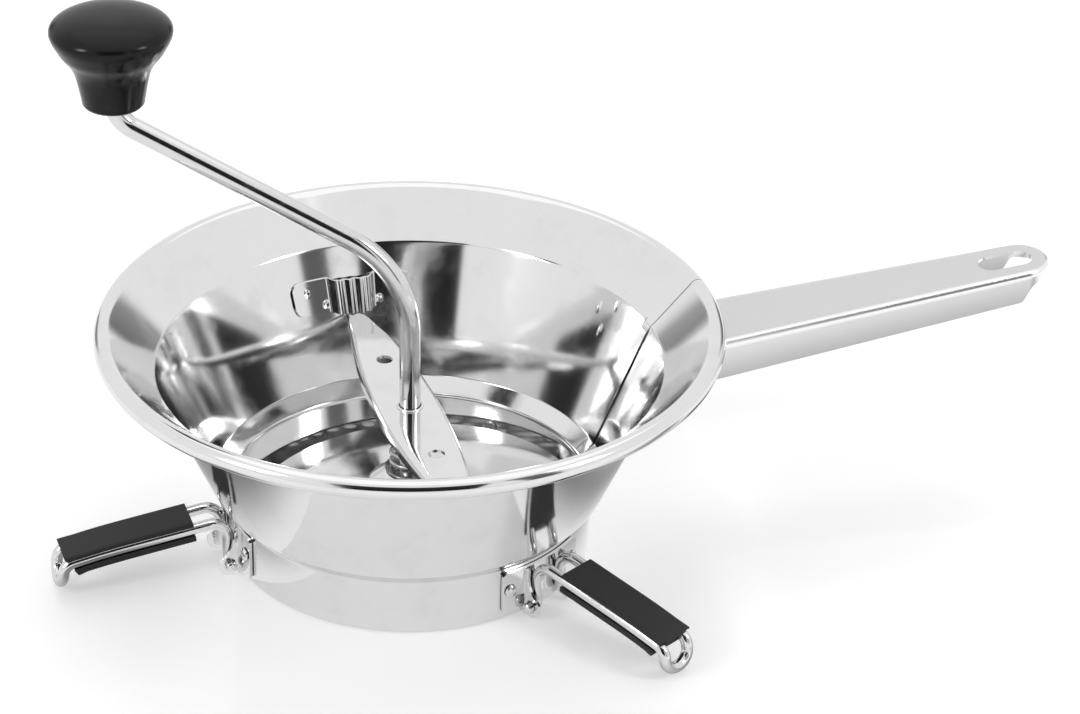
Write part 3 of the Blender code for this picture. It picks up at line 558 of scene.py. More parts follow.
# ---- bowl: an outline from the foot's lip to the rim's roll goes round; seam and weld dimples push the sheet
bowl = {"sheet": 1.0 * mm, "footRadius": 70.3 * mm, "lipRadius": 62.0 * mm, "footHeight": 23.1 * mm,
        "coneFoot": (75.5 * mm, 28.7 * mm), "coneTop": (97.5 * mm, 78.2 * mm), "rimRadius": 116.2 * mm,
        "rimHeight": 91.7 * mm, "beadRadius": 3.7 * mm, "beadSteps": 34, "steps": 240, "spacing": 1.6 * mm,
        "corners": (1.7 * mm, 2.2 * mm, 2.2 * mm, 3.0 * mm), "outOfRound": 0.05 * mm,
        "dimpleRadius": 0.75 * mm, "dimpleDepth": 0.30 * mm,
        "dimples": ((16.1, 74.9), (21.6, 70.2), (18.6, 63.4))}
# The seam's dark colour is painted shade for the shadow of the overlapped sheet's step.
seam = {"start": 0.9 * mm, "width": 5.8 * mm, "rise": 0.60 * mm, "edge": 0.15 * mm, "grooveWidth": 0.30 * mm,
        "grooveDepth": 0.15 * mm, "drift": 1.9 * mm, "half": 0.17 * mm, "lapShare": 0.8,
        "dark": (0.035, 0.035, 0.034, 1)}
coneLean = (bowl["coneTop"][0] - bowl["coneFoot"][0]) / (bowl["coneTop"][1] - bowl["coneFoot"][1])
coneSide = bowl["sheet"] / 2 * hypot(1, coneLean)


# The cone's inner radius grows with the height, by coneLean for each length up.
def coneInner(height):
    return bowl["coneFoot"][0] + (height - bowl["coneFoot"][1]) * coneLean - coneSide


def coneOuter(height):
    return coneInner(height) + 2 * coneSide


# The bowl's closed outline and, for each of its points, the direction that a dent pushes it in
def bowlOutline():
    half = bowl["sheet"] / 2
    wall = bowl["footRadius"] - half
    # the flare runs straight onto the top of the rim's roll, as a tangent to it
    outward, upward = bowl["rimRadius"] - bowl["coneTop"][0], bowl["rimHeight"] - bowl["coneTop"][1]
    roll = bowl["beadRadius"] - half
    flare = atan2(upward, outward) + asin(roll / hypot(outward, upward))
    end = (bowl["rimRadius"] - roll * sin(flare), bowl["rimHeight"] + roll * cos(flare))
    corners = [(bowl["lipRadius"], half), (wall, half), (wall, bowl["footHeight"]), bowl["coneFoot"],
               bowl["coneTop"], end]
    line = fillRuns(roundedLine(corners, bowl["corners"]), bowl["spacing"])
    across = leftNormals(line)
    first = pi / 2 + flare + acos((bowl["beadRadius"] - bowl["sheet"]) / bowl["beadRadius"])
    bead = arc((bowl["rimRadius"], bowl["rimHeight"]), bowl["beadRadius"], first, tau + pi / 2 + flare,
               bowl["beadSteps"])
    # the outer side forward, the bead, then the inner side back
    outline = np.vstack([(line - across * half)[:-1], bead, (line + across * half)[-2::-1]])
    push = np.vstack([across[:-1], bead * 0, across[-2::-1]])
    onBead = np.full((len(bead), 2), 1.0)
    return outline, push, np.vstack([line[:-1], onBead, line[-2::-1]])


# Azimuths all round, closer together at the seam and the dimples
def bowlAzimuths():
    spots = np.radians([spot for spot, height in bowl["dimples"]])
    spots = np.concatenate([spots, -spots])
    near = (spots[:, None] + np.linspace(-0.020, 0.020, 11)[None]).ravel()
    atSeam = np.linspace(-0.02, 0.10, 76)
    azimuth = np.concatenate([np.linspace(-pi, pi, bowl["steps"], endpoint=False), atSeam, near])
    azimuth = np.unique(azimuth.round(6))
    return azimuth[np.concatenate([[True], np.diff(azimuth) > 2e-4])][:, None]


# How far the sheet is pushed, at each azimuth and outline point: the lap is a raised band beside the
# joint, the joint's groove on the flare and the dimples are bell curves of the distance, and three slow
# waves of the azimuth leave the cone a little out of round.
def bowlLift(azimuth, radii, heights):
    reach = azimuth * radii
    crease = bowl["coneTop"][1]
    onCone = smoothStep(heights, 25 * mm, 30 * mm) * (1 - smoothStep(heights, crease - 3 * mm, crease))
    onFlare = smoothStep(heights, crease + 1 * mm, crease + 2 * mm) * (heights < 0.5)
    drift = seam["drift"] * (radii - bowl["coneTop"][0]) / (bowl["rimRadius"] - bowl["coneTop"][0])
    groove = reach - seam["start"] - np.maximum(drift, 0) * onFlare
    bandEnd = seam["start"] + seam["width"]
    band = smoothStep(reach, seam["start"] - seam["edge"], seam["start"] + seam["edge"])
    band *= 1 - smoothStep(reach, bandEnd - 0.25 * mm, bandEnd + 0.25 * mm)
    lift = seam["rise"] * band * onCone
    lift -= seam["grooveDepth"] * np.exp(-(groove / seam["grooveWidth"]) ** 2) * onFlare
    for spot, height in bowl["dimples"]:
        for side in (1.0, -1.0):
            sideways = (azimuth - side * radians(spot)) * radii
            distance = np.hypot(sideways, (heights - height * mm) / cos(coneLean))
            lift += bowl["dimpleDepth"] * np.exp(-(distance / bowl["dimpleRadius"]) ** 2) * onCone
    waves = np.cos(2 * azimuth + 0.4) + 0.7 * np.cos(3 * azimuth + 2.1) + 0.5 * np.cos(5 * azimuth + 1.2)
    return lift + bowl["outOfRound"] * waves * onCone


# The outline goes round Z, each point moved along its own push by the lift.
def makeBowl():
    outline, push, middle = bowlOutline()
    azimuth = bowlAzimuths()
    lift = bowlLift(azimuth, middle[None, :, 0], middle[None, :, 1])
    points = roundZ(outline[:, 0] + lift * push[:, 0], azimuth, outline[:, 1] + lift * push[:, 1])
    marks = {**seam, "joint": seam["start"], "lap": seam["start"] + seam["width"], "from": bowl["coneTop"][0],
             "to": bowl["rimRadius"], "above": bowl["footHeight"]}
    bowlSteel = polishedSteel("bowlSteel", polish, True, marks)
    made = objectOf("bowl", [gridMesh("bowl", points, True, True)], bowlSteel, 45)
    return dress(made, "bowl", "polished_steel", "bowl_shell")


makeBowl()
print("scene: bowl made")


# ---- handle: a channel section carried round the plan outline, thickened, with its slot and two welded tabs
handle = {"sheet": 1.2 * mm, "slopeDeg": 4.24, "topAtRoot": 76.1 * mm, "length": 164.9 * mm,
          "rootHalf": 18.0 * mm, "tipRadius": 12.5 * mm, "rootDepth": 16.8 * mm, "tipDepth": 13.0 * mm,
          "fold": 2.5 * mm, "tipLip": 6.0 * mm, "notchLength": 6.0 * mm, "notchFromTip": 12.5 * mm,
          "slotLength": 22.5 * mm, "slotWidth": 11.0 * mm, "slotFromTip": 18.0 * mm,
          "rootGap": 0.6 * mm, "rootShare": 0.08, "crown": 0.25 * mm, "edge": 0.22 * mm}
tab = {"top": 3.5 * mm, "bottom": 13.5 * mm, "length": 12.0 * mm, "corner": 2.0 * mm, "gap": 0.3 * mm,
       "edge": 0.2 * mm}


# The top's height climbs from the root by the slope's tangent.
def handleTop(across):
    return handle["topAtRoot"] + (across - bowl["coneTop"][0]) * tan(radians(handle["slopeDeg"]))


# A half section (flat out, over the fold, down the flange) stands at each point of a spine that runs out
# along one side, round the tip and back; its width and depth change evenly from root to tip, with a drop
# at the notch, and the root's points lie on the cone.
def makeHandle():
    root = bowl["coneTop"][0]
    tip = root + handle["length"] - handle["tipRadius"]
    notchEnd = root + handle["length"] - handle["notchFromTip"] + handle["notchLength"] / 2
    notchStart = notchEnd - handle["notchLength"]
    share = np.concatenate([np.linspace(0, 0.86, 60), np.linspace(0.865, 0.995, 44)])
    angle = np.linspace(pi / 2, -pi / 2, 61)
    side = root + (tip - root) * share
    across = np.concatenate([side, np.full(len(angle), tip), side[::-1]])
    sideways = np.concatenate([np.ones(len(share)), np.sin(angle), -np.ones(len(share))])
    forward = np.concatenate([np.zeros(len(share)), np.cos(angle), np.zeros(len(share))])
    portion = (across - root) / (tip - root)
    half = handle["rootHalf"] + (handle["tipRadius"] - handle["rootHalf"]) * portion
    depth = handle["rootDepth"] + (handle["tipDepth"] - handle["rootDepth"]) * portion
    drop = smoothStep(across + half * forward, notchStart, notchEnd)
    depth = depth + (handle["tipLip"] - depth) * drop
    fold = handle["fold"]
    turn = np.linspace(0, pi / 2, 9)[1:]
    flatOut = (half - fold)[:, None] * np.linspace(0, 1, 12)[None]
    foldOut = (half - fold)[:, None] + fold * np.sin(turn)[None]
    wallShare = np.linspace(0, 1, 11)[1:]
    out = np.hstack([flatOut, foldOut, np.repeat(half[:, None], len(wallShare), 1)])
    down = np.hstack([0 * flatOut, np.repeat((fold * (np.cos(turn) - 1))[None], len(half), 0),
                      -fold - (depth - fold)[:, None] * wallShare[None]])
    down -= handle["crown"] * (out / half[:, None]) ** 2 * (np.arange(out.shape[1]) < flatOut.shape[1])
    x = across[:, None] + out * forward[:, None]
    y = out * sideways[:, None]
    z = handleTop(x) + down
    rooted = np.sqrt((coneOuter(z) + handle["rootGap"]) ** 2 - y ** 2)
    away = np.clip(portion / handle["rootShare"], 0, 1)[:, None]
    x = np.where(away < 1, rooted + (x - root) + (root - rooted) * away, x)
    made = objectOf("handle", [gridMesh("handle", np.stack([x, y, z], -1), False, False)], handleSteel)
    sheet = made.modifiers.new("sheet", "SOLIDIFY")
    sheet.thickness = handle["sheet"]
    sheet.offset = -1.0
    sheet.use_even_offset = True
    carve(made, [])
    carve(made, [slotCutter(root + handle["length"] - handle["slotFromTip"])], sharpDeg=30)
    soften(made, handle["edge"], 50)
    dress(made, "bowl", "satin_steel", "handle")
    for side in (-1.0, 1.0):
        makeTab(side)


# Slot: two half circles joined by straight sides, carried through the top
def slotCutter(centre):
    bend = handle["slotWidth"] / 2
    right = arc((handle["slotLength"] / 2 - bend, 0), bend, -pi / 2, pi / 2, 25)
    outline = np.vstack([right, -right]) + (centre, 0)
    points = np.stack([np.column_stack([outline, np.full(len(outline), handleTop(centre) + level)])
                       for level in (-9.0 * mm, 12.0 * mm)])
    return objectOf("slot", [gridMesh("slot", points, caps=True)], handleSteel)


# Tab: the flange's foot turned out along the cone, as a curved plate whose far corners are rounded
def makeTab(side):
    top, low = handle["topAtRoot"] - tab["top"], handle["topAtRoot"] - tab["bottom"]
    start = (handle["rootHalf"] - handle["sheet"] / 2) / coneOuter(top)
    end = start + tab["length"] / coneOuter(top)
    azimuth = side * np.linspace(start, end, 24)
    corner = tab["corner"]
    toEnd = np.clip(corner - (end - np.abs(azimuth)) * coneOuter(top), 0, corner)
    cut = corner - np.sqrt(np.maximum(corner ** 2 - toEnd ** 2, 0)) * 0.999
    height = (low + cut)[:, None] + (top - low - 2 * cut)[:, None] * np.linspace(0, 1, 8)[None]
    inside = coneOuter(height) + tab["gap"]
    made = plate("handleTabNear" if side < 0 else "handleTabFar", azimuth, (inside, inside + handle["sheet"]),
                 (height, height), handleSteel, 35)
    soften(made, tab["edge"])
    return dress(made, "bowl", "satin_steel")


makeHandle()
print("scene: handle made")


# ---- crossbar brackets: a strap on the cone, its middle a ribbed loop that stands off, its feet dimpled
strap = {"sheet": 1.0 * mm, "bottom": 55.6 * mm, "height": 12.5 * mm, "halfLength": 25.0 * mm,
         "loopHalf": 8.2 * mm, "stand": 3.6 * mm, "ramp": 2.6 * mm, "ribs": 2, "ribHeight": 0.7 * mm,
         "gap": 0.3 * mm, "corner": 3.8 * mm, "edge": 0.18 * mm,
         "dimples": ((18.8, 8.3), (11.4, 2.9)), "dimpleRadius": 0.9 * mm, "dimpleDepth": 0.55 * mm}


# Plate on the cone's inside: it stands off in the middle, with smooth ramps, raised cosine ribs and dents.
def makeStrap(name, azimuthDeg, node):
    half = strap["halfLength"]
    along = half * endShares(141)
    loop, ramp = strap["loopHalf"], strap["ramp"]
    inward = 1 - smoothStep(np.abs(along), loop - ramp / 2, loop + ramp / 2)
    flat = strap["loopHalf"] - strap["ramp"]
    waves = 0.5 - 0.5 * np.cos(tau * (strap["ribs"] + 0.5) * (along + flat) / (2 * flat))
    stand = strap["stand"] * inward + strap["ribHeight"] * waves * (np.abs(along) < flat)
    trim = cornerTrim(half - np.abs(along), strap["corner"], 0.97)
    share = np.linspace(0, 1, 21)
    low = strap["bottom"] + trim
    high = strap["bottom"] + strap["height"] - trim
    height = low[:, None] + (high - low)[:, None] * share[None]
    dent = np.zeros_like(height)
    for offset, up in strap["dimples"]:
        for side in (-1.0, 1.0):
            distance = np.hypot(along[:, None] - side * offset * mm, height - strap["bottom"] - up * mm)
            dent += strap["dimpleDepth"] * np.exp(-(distance / strap["dimpleRadius"]) ** 4)
    azimuth = radians(azimuthDeg) + along / coneInner(strap["bottom"] + strap["height"] / 2)
    back = coneInner(height) - strap["gap"] - stand[:, None]
    made = plate(name, azimuth, (back, back - strap["sheet"] + dent), (height, height), pressedSteel)
    soften(made, strap["edge"], 55)
    return dress(made, "bowl", "polished_steel", node)


makeStrap("strapFar", 90, "crossbar_bracket_far")
makeStrap("strapNear", -90, "crossbar_bracket_near")


# ---- crossbar: a channel section carried along its path, wide at the centre and narrow at the tongues
bar = {"sheet": 1.2 * mm, "top": 58.3 * mm, "flatHalf": 55.1 * mm, "half": 12.0 * mm, "tongueHalf": 3.0 * mm,
       "flange": 5.5 * mm, "fold": 2.5 * mm, "hole": 3.25 * mm, "holeOffset": 37.4 * mm, "collar": 5.2 * mm,
       "collarRise": 0.6 * mm, "bore": 4.4 * mm, "tongueRise": 2.4 * mm, "tongueBend": 1.1 * mm,
       "tongueFold": 0.66 * mm, "room": 0.25 * mm, "edge": 0.16 * mm}


# The bar's middle line from the centre outwards as (across, up, heading): flat, sloping down, under the
# strap and up behind it.
def barPath():
    half = bar["sheet"] / 2
    front = coneInner(strap["bottom"]) - strap["gap"] - strap["stand"] - bar["room"] - strap["sheet"]
    turnStart = front + strap["sheet"] + bar["room"] + strap["gap"] + half - bar["tongueBend"]
    low = strap["bottom"] - strap["gap"] - half
    middle = bar["top"] - half
    slopeEnd = front - strap["sheet"]
    line = roundedLine([(0, middle), (bar["flatHalf"], middle), (slopeEnd, low), (turnStart, low)],
                       (120 * mm, 8 * mm), 10)
    line = fillRuns(line, 2.5 * mm)
    run = np.diff(line, axis=0)
    heading = np.arctan2(run[:, 1], run[:, 0])
    heading = np.concatenate([heading[:1], (heading[:-1] + heading[1:]) / 2, [0.0]])
    moves = ((bar["tongueBend"], degrees(atan2(1.0, coneLean))), (bar["tongueRise"],))
    turn = planePath((turnStart, low), 0.0, moves, 10)
    return np.vstack([np.column_stack([line[:-1], heading[:-1]]), turn])


# At each station of the path stands a channel: its half width and depth swell from the tongue to the
# centre as 1 less the square of the share outwards.
def makeBar():
    path = barPath()
    outEnd = coneInner(strap["bottom"]) - strap["gap"] - strap["stand"] - 2 * strap["sheet"]
    stations = np.vstack([path[:0:-1] * (-1, 1, -1), path])
    out = stations[:, 0]
    share = np.clip(np.abs(out) / outEnd, 0, 1)
    swell = 1 - share ** 2
    half = bar["tongueHalf"] + (bar["half"] - bar["tongueHalf"]) * swell
    depth = bar["sheet"] / 2 + (bar["flange"] - bar["sheet"] / 2) * swell ** 0.6
    fold = np.minimum(bar["tongueFold"] + (bar["fold"] - bar["tongueFold"]) * swell ** 0.6, depth)
    rings = []
    for index, (across, up, heading) in enumerate(stations):
        right = arc((half[index] - fold[index], -fold[index]), fold[index], 0, pi / 2, 7)
        foot = np.array([[half[index], -depth[index] - 0.12 * mm]])
        flat = np.column_stack([np.linspace(half[index] - fold[index], 0, 5)[1:], np.zeros(4)])
        line = np.vstack([foot, right, flat])
        line = np.vstack([line, (line * (-1, 1))[-2::-1]])[::-1]
        ring = sheetOutline(line, bar["sheet"])
        leaned = ring[:, 1:] * (-sin(heading), cos(heading)) + (across, up)
        rings.append(np.column_stack([ring[:, 0], leaned]))
    made = objectOf("crossbar", [gridMesh("crossbar", np.array(rings), caps=True)], pressedSteel)
    low, high = bar["top"] - bar["sheet"] - bar["collarRise"], bar["top"] + bar["collarRise"]
    outline = roundedLine([(1 * mm, low), (bar["collar"], low), (bar["collar"], high), (1 * mm, high)],
                          (0.3 * mm, 0.5 * mm), 5)
    carve(made, [turned("collar", outline, 48, pressedSteel)], "UNION")
    low, high = bar["top"] - 5 * mm, bar["top"] + 5 * mm
    drills = [drill((0, y, low), (0, y, high), radius, sides) for y, radius, sides in (
        (0, bar["bore"], 48), (-bar["holeOffset"], bar["hole"], 40), (bar["holeOffset"], bar["hole"], 40))]
    carve(made, drills, sharpDeg=30)
    soften(made, bar["edge"], 55)
    return dress(made, "crossbar", "polished_steel", "crossbar")


makeBar()
print("scene: crossbar and its brackets made")


# ---- crank: the rod goes up through the hub, bends over to the arm and up again into the knob
crank = {"radius": 4.05 * mm, "foot": 1.65 * mm, "bendStart": 91.2 * mm, "bend": 43.0 * mm, "armRise": 27.0,
         "arm": 90.2 * mm, "knobBend": 12.7 * mm, "inKnob": 21.0 * mm, "azimuth": 157.4}


# A tube along runs and bends in the plane across and up, turned to the crank's azimuth; gives the rod's
# end.
def makeCrank():
    moves = ((crank["bendStart"] - crank["foot"],), (crank["bend"], crank["armRise"] - 90), (crank["arm"],),
             (crank["knobBend"], 90 - crank["armRise"]), (crank["inKnob"],))
    path = planePath((0, crank["foot"]), 90, moves, 2.0, 6 * mm)
    points = np.column_stack([path[:, 0], 0 * path[:, 0], path[:, 1]])
    made = tube("crankRod", turnZ(crank["azimuth"], points), crank["radius"], 48, wireSteel)
    dress(made, "crank", "polished_steel", "crank_rod")
    return path[-1]


rodEnd = makeCrank()
knobFoot = roundZ(rodEnd[0], radians(crank["azimuth"]), rodEnd[1] - crank["inKnob"] - 2.0 * mm)


# ---- knob: a smooth outline through a few points, turned about the rod's end
knob = {"radius": 23.0 * mm, "dome": 7.0 * mm, "stem": 30.0 * mm, "stemRadius": 11.8 * mm, "foot": 2.0 * mm,
        "radiusShares": (0.998, 0.975, 0.92, 0.845, 0.713, 0.626, 0.578, 0.539, 0.515),
        "dropShares": (0.025, 0.085, 0.17, 0.27, 0.40, 0.53, 0.67, 0.82, 0.92),
        "boreRoom": 0.35 * mm, "boreTop": 24 * mm, "boreStart": 3 * mm, "boreMouth": 5.6 * mm}


# The bore, the foot's quarter circle, a curve through shares of the radius and of the stem's height, and
# a dome whose radius is the cosine to the power 0.8 and whose height is the sine.
def makeKnob():
    bore = crank["radius"] + knob["boreRoom"]
    foot = arc((knob["stemRadius"] - knob["foot"], knob["foot"]), knob["foot"], -pi / 2, 0, 8)
    side = np.column_stack([knob["radius"] * np.array(knob["radiusShares"][::-1]),
                            knob["stem"] * (1 - np.array(knob["dropShares"][::-1]))])
    turn = np.linspace(0, pi / 2, 25)
    dome = np.column_stack([knob["radius"] * np.cos(turn) ** 0.8, knob["stem"] + knob["dome"] * np.sin(turn)])
    skin = smoothCurve(np.vstack([foot[-1:], side, dome[:1]]), 10)
    top = knob["boreTop"]
    inside = [(0, top), (bore, top), (bore, knob["boreStart"]), (knob["boreMouth"], 0)]
    outline = np.vstack([inside, foot[:-1], skin[:-1], dome])
    outline[-1, 0] = 0
    points = turnedPoints(outline, 96) + knobFoot
    made = objectOf("knob", [gridMesh("knob", points, True, False)], knobBlack, 40)
    return dress(made, "knob", "gloss_black", "knob")


makeKnob()
print("scene: crank and knob made")


# ---- hub, washers and spring on the rod
hub = {"sheet": 1.2 * mm, "radius": 16.5 * mm, "crown": 9.5 * mm, "top": 30.4 * mm, "shoulder": 24.9 * mm,
       "foot": 5.0 * mm, "corner": 1.6 * mm}


# Cup: a sheet along a rounded line from the bore over the crown and down the wall, turned round Z
def makeHub():
    half = hub["sheet"] / 2
    corners = ((crank["radius"] + 0.3 * mm, hub["top"] - half), (hub["crown"], hub["top"] - half),
               (hub["radius"] - half, hub["shoulder"]), (hub["radius"] - half, hub["foot"]))
    line = fillRuns(roundedLine(corners, (hub["corner"] * 1.6,) * 2, 8), 1.5 * mm)
    made = turned("bladeHub", sheetOutline(line, hub["sheet"]), 96, steel, 50)
    return dress(made, "crank", "polished_steel", "blade_hub")


washer = {"bore": 4.4 * mm, "radius": 9.8 * mm, "sheet": 0.9 * mm, "edge": 0.25 * mm}


# Ring: its section is a rectangle with rounded outer corners
def makeWasher(name, low, body, node):
    high = low + washer["sheet"]
    outline = roundedLine([(washer["bore"], low), (washer["radius"], low), (washer["radius"], high),
                           (washer["bore"], high)], (washer["edge"],) * 2, 4)
    made = turned(name, outline, 72, springSteel)
    return dress(made, body, "spring_steel", node)


spring = {"radius": 7.2 * mm, "wire": 0.9 * mm, "curls": 5, "endPitch": 2.7 * mm}


# Helix: round Z at one radius, rising by the end pitch in the first and last curl and by the open pitch
# between
def makeSpring():
    low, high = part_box("spring")
    bottom, top = low.z + spring["wire"], high.z - spring["wire"]
    openPitch = (top - bottom - 2 * spring["endPitch"]) / (spring["curls"] - 2)
    turns = np.linspace(0, spring["curls"], spring["curls"] * 60 + 1)
    openPart = openPitch * (spring["curls"] - 2)
    height = np.interp(turns, [0, 1, spring["curls"] - 1, spring["curls"]],
                       [bottom, bottom + spring["endPitch"], bottom + spring["endPitch"] + openPart, top])
    path = roundZ(spring["radius"], tau * turns, height)
    made = dress(tube("spring", path, spring["wire"], 16, springSteel), "crank", "spring_steel", "spring")
    # the crossbar's travel and the share of the spring's length it leaves are worked out, but the spring only
    # gets its own copy of its mesh
    press = next(joint for joint in frame["joints"] if joint["name"] == "crossbar_press")
    travel = -press["range_m"][0]
    length = high.z - low.z
    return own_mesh(made, "crossbar_press", axis=(0, 0, 1), anchor=(0, 0, low.z), keep=1 - travel / length)


makeHub()
makeWasher("washerLower", 30.7 * mm, "crank", "spring_washer_lower")
makeWasher("washerUpper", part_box("spring_washer_upper")[0].z, "crossbar", "spring_washer_upper")
makeSpring()


# ---- blade: a sheet that climbs round the hub
blade = {"sheet": 1.0 * mm, "low": 2.6 * mm, "rise": 16.5 * mm, "sweepDeg": 235.0, "leadDeg": -25.0,
         "power": 1.25, "inner": 16.8 * mm, "outer": 65.5 * mm, "edge": 0.15 * mm}


# Height falls with the azimuth: the rise times what is left of the sweep to a power.
def makeBlade():
    share = np.linspace(0, 1, 160)[:, None]
    azimuth = np.radians(blade["leadDeg"] + blade["sweepDeg"] * share[:, 0])
    radius = np.linspace(blade["inner"], blade["outer"], 26)[None]
    bottom = blade["low"] + blade["rise"] * (1 - share) ** blade["power"] + 0 * radius
    radius = radius + 0 * share
    made = plate("blade", azimuth, (radius, radius), (bottom, bottom + blade["sheet"]), steel)
    soften(made, blade["edge"], 60)
    return dress(made, "crank", "polished_steel", "blade")


makeBlade()


# ---- disc: a plate with a boss, and round holes in staggered rows, filled as a flat curve and thickened
disc = {"bottom": 1.3 * mm, "sheet": 1.0 * mm, "radius": 68.0 * mm, "rim": 9.0 * mm, "hole": 1.5 * mm,
        "pitch": 4.6 * mm, "bossRadius": 7.2 * mm, "bossHeight": 3.2 * mm, "bossTaper": 0.4 * mm,
        "clear": 9.5 * mm, "bore": 4.4 * mm}


def addRing(curve, x, y, radius, sides):
    angle = np.linspace(0, tau, sides, endpoint=False)
    spline = curve.splines.new("POLY")
    spline.points.add(sides - 1)
    level, weight = np.zeros(sides), np.ones(sides)
    points = np.column_stack([x + radius * np.cos(angle), y + radius * np.sin(angle), level, weight])
    spline.points.foreach_set("co", points.ravel())
    spline.use_cyclic_u = True


# Holes at the points of a grid whose rows stand the square root of 3/4 of the pitch apart and are shifted
# by half of it in turn; the boss is a rounded rectangle turned round Z.
def makeDisc():
    curve = bpy.data.curves.new("disc", "CURVE")
    curve.dimensions = "2D"
    curve.fill_mode = "BOTH"
    curve.extrude = disc["sheet"] / 2
    addRing(curve, 0, 0, disc["radius"], 160)
    addRing(curve, 0, 0, disc["bossRadius"], 48)
    rows = int(disc["radius"] / disc["pitch"]) + 2
    row, column = np.meshgrid(np.arange(-rows, rows + 1), np.arange(-rows, rows + 1), indexing="ij")
    x = (column + 0.5 * (row % 2)) * disc["pitch"]
    y = row * disc["pitch"] * 3 ** 0.5 / 2
    reach = np.hypot(x, y)
    inside = (reach < disc["radius"] - disc["rim"]) & (reach > disc["clear"])
    for across, along in zip(x[inside], y[inside]):
        addRing(curve, across, along, disc["hole"], 14)
    flat = addObject("discCurve", curve)
    mesh = shownMesh(flat)
    bpy.data.objects.remove(flat, do_unlink=True)
    low, high = disc["bottom"], disc["bottom"] + disc["bossHeight"]
    mesh.transform(Matrix.Translation((0, 0, low + disc["sheet"] / 2)))
    mesh.materials.clear()
    outer, bore = disc["bossRadius"], disc["bore"]
    boss = roundedLine([(outer, low + disc["sheet"]), (outer - disc["bossTaper"], high), (bore, high),
                        (bore, low), (outer, low)], (0.5 * mm, 0.4 * mm, 0.3 * mm), 5)
    made = objectOf("disc", [mesh, gridMesh("boss", turnedPoints(boss, 48), True, True)], steel, 40)
    return dress(made, "bowl", "polished_steel", "disc")


makeDisc()
print("scene: hub, spring, blade and disc made")


# ---- legs: wire, sleeve, bracket and rivets, worked out in the leg's own plane and turned to its azimuth
leg = {"azimuths": (-60.0, 60.0, 180.0), "wire": 2.25 * mm, "spread": 6.2 * mm, "pivotHeight": 5.0 * mm,
       "rise": 7.8 * mm, "arch": 6.3 * mm, "slope": 8.0, "arm": 33.3 * mm, "bow": 255.0 * mm, "bowTurn": 4.5,
       "hook": 5.2 * mm, "hookTurn": 69.5, "hookRun": 0.4 * mm, "loopReach": 5.5 * mm, "earBend": 2.9 * mm,
       "stub": 1.8 * mm, "stubDome": 1.0 * mm, "plateGap": 0.3 * mm, "plate": 1.2 * mm, "runGap": 0.35 * mm}
pivotReach = (((bowl["footRadius"] + leg["plateGap"] + leg["plate"]) ** 2 - leg["spread"] ** 2) ** 0.5
              + leg["plateGap"] + leg["wire"])
earInner = leg["spread"] + leg["earBend"] + leg["runGap"] / 2
armMoves = ((leg["rise"],), (leg["arch"], -90 - leg["slope"]), (leg["arm"],), (leg["bow"], -leg["bowTurn"]))
hookMoves = ((leg["hook"], -leg["hookTurn"]), (leg["hookRun"],))


# Runs and bends of one wire above the pivot, in the leg's plane
def legRoute(moves, stepDeg):
    return planePath((0, leg["earBend"]), 90, moves, stepDeg)


def placeLeg(azimuthDeg, points):
    return turnZ(azimuthDeg, points + np.array([pivotReach, 0, leg["pivotHeight"]]))


# One tube: in from the ear's stub, over a quarter circle into the arm, round the hook's half loop, and
# the same mirrored on the other side.
def makeLegWire(number, azimuthDeg):
    route = legRoute(armMoves + hookMoves, 3.0)
    stub = np.array([[0, earInner + leg["plate"] + leg["stub"], 0]])
    bend = arc((leg["spread"] + leg["earBend"], leg["earBend"]), leg["earBend"], -pi / 2, -pi, 13)
    bend = np.column_stack([np.zeros(len(bend)), bend])
    arm = np.column_stack([route[1:, 0], np.full(len(route) - 1, leg["spread"]), route[1:, 1]])
    across, up, heading = route[-1]
    turn = np.linspace(0, pi, 33)[1:-1]
    reach = leg["loopReach"] * np.sin(turn)
    hook = np.column_stack([across + reach * cos(heading), leg["spread"] * np.cos(turn),
                            up + reach * sin(heading)])
    half = np.vstack([stub, bend, arm])
    path = placeLeg(azimuthDeg, np.vstack([half, hook, half[::-1] * (1, -1, 1)]))
    made = tube("legWire" + number, path, leg["wire"], 32, wireSteel, leg["stubDome"])
    return dress(made, "leg_" + number, "polished_steel", "leg_wire_" + number)


sleeve = {"start": 13.1 * mm, "length": 48.4 * mm, "half": 8.2 * mm, "rise": 3.4 * mm, "drop": 5.0 * mm,
          "corner": 1.0 * mm, "groove": 2.65 * mm, "mouthDeg": 48.0, "endLean": 0.45,
          "edge": 0.25 * mm}


# Closed section of the sleeve: its right half from the top's middle to the bottom's, then the same mirrored
def sleeveSection():
    mouth = radians(sleeve["mouthDeg"])
    inward = sleeve["half"] - sleeve["corner"]
    flat = np.linspace(0, inward, 6)[:-1]
    lip = sleeve["groove"] * sin(mouth) + 0.3 * mm
    right = np.vstack([
        np.column_stack([flat, np.full(len(flat), sleeve["rise"])]),
        arc((inward, sleeve["rise"] - sleeve["corner"]), sleeve["corner"], pi / 2, 0, 7),
        [(sleeve["half"], lip)],
        arc((leg["spread"], 0), sleeve["groove"], mouth, tau - mouth, 33),
        [(sleeve["half"], -lip)],
        arc((inward, sleeve["corner"] - sleeve["drop"]), sleeve["corner"], 0, -pi / 2, 7),
        np.column_stack([flat[::-1], np.full(len(flat), -sleeve["drop"])])])
    return np.vstack([right, (right * (-1, 1))[-2:0:-1]])


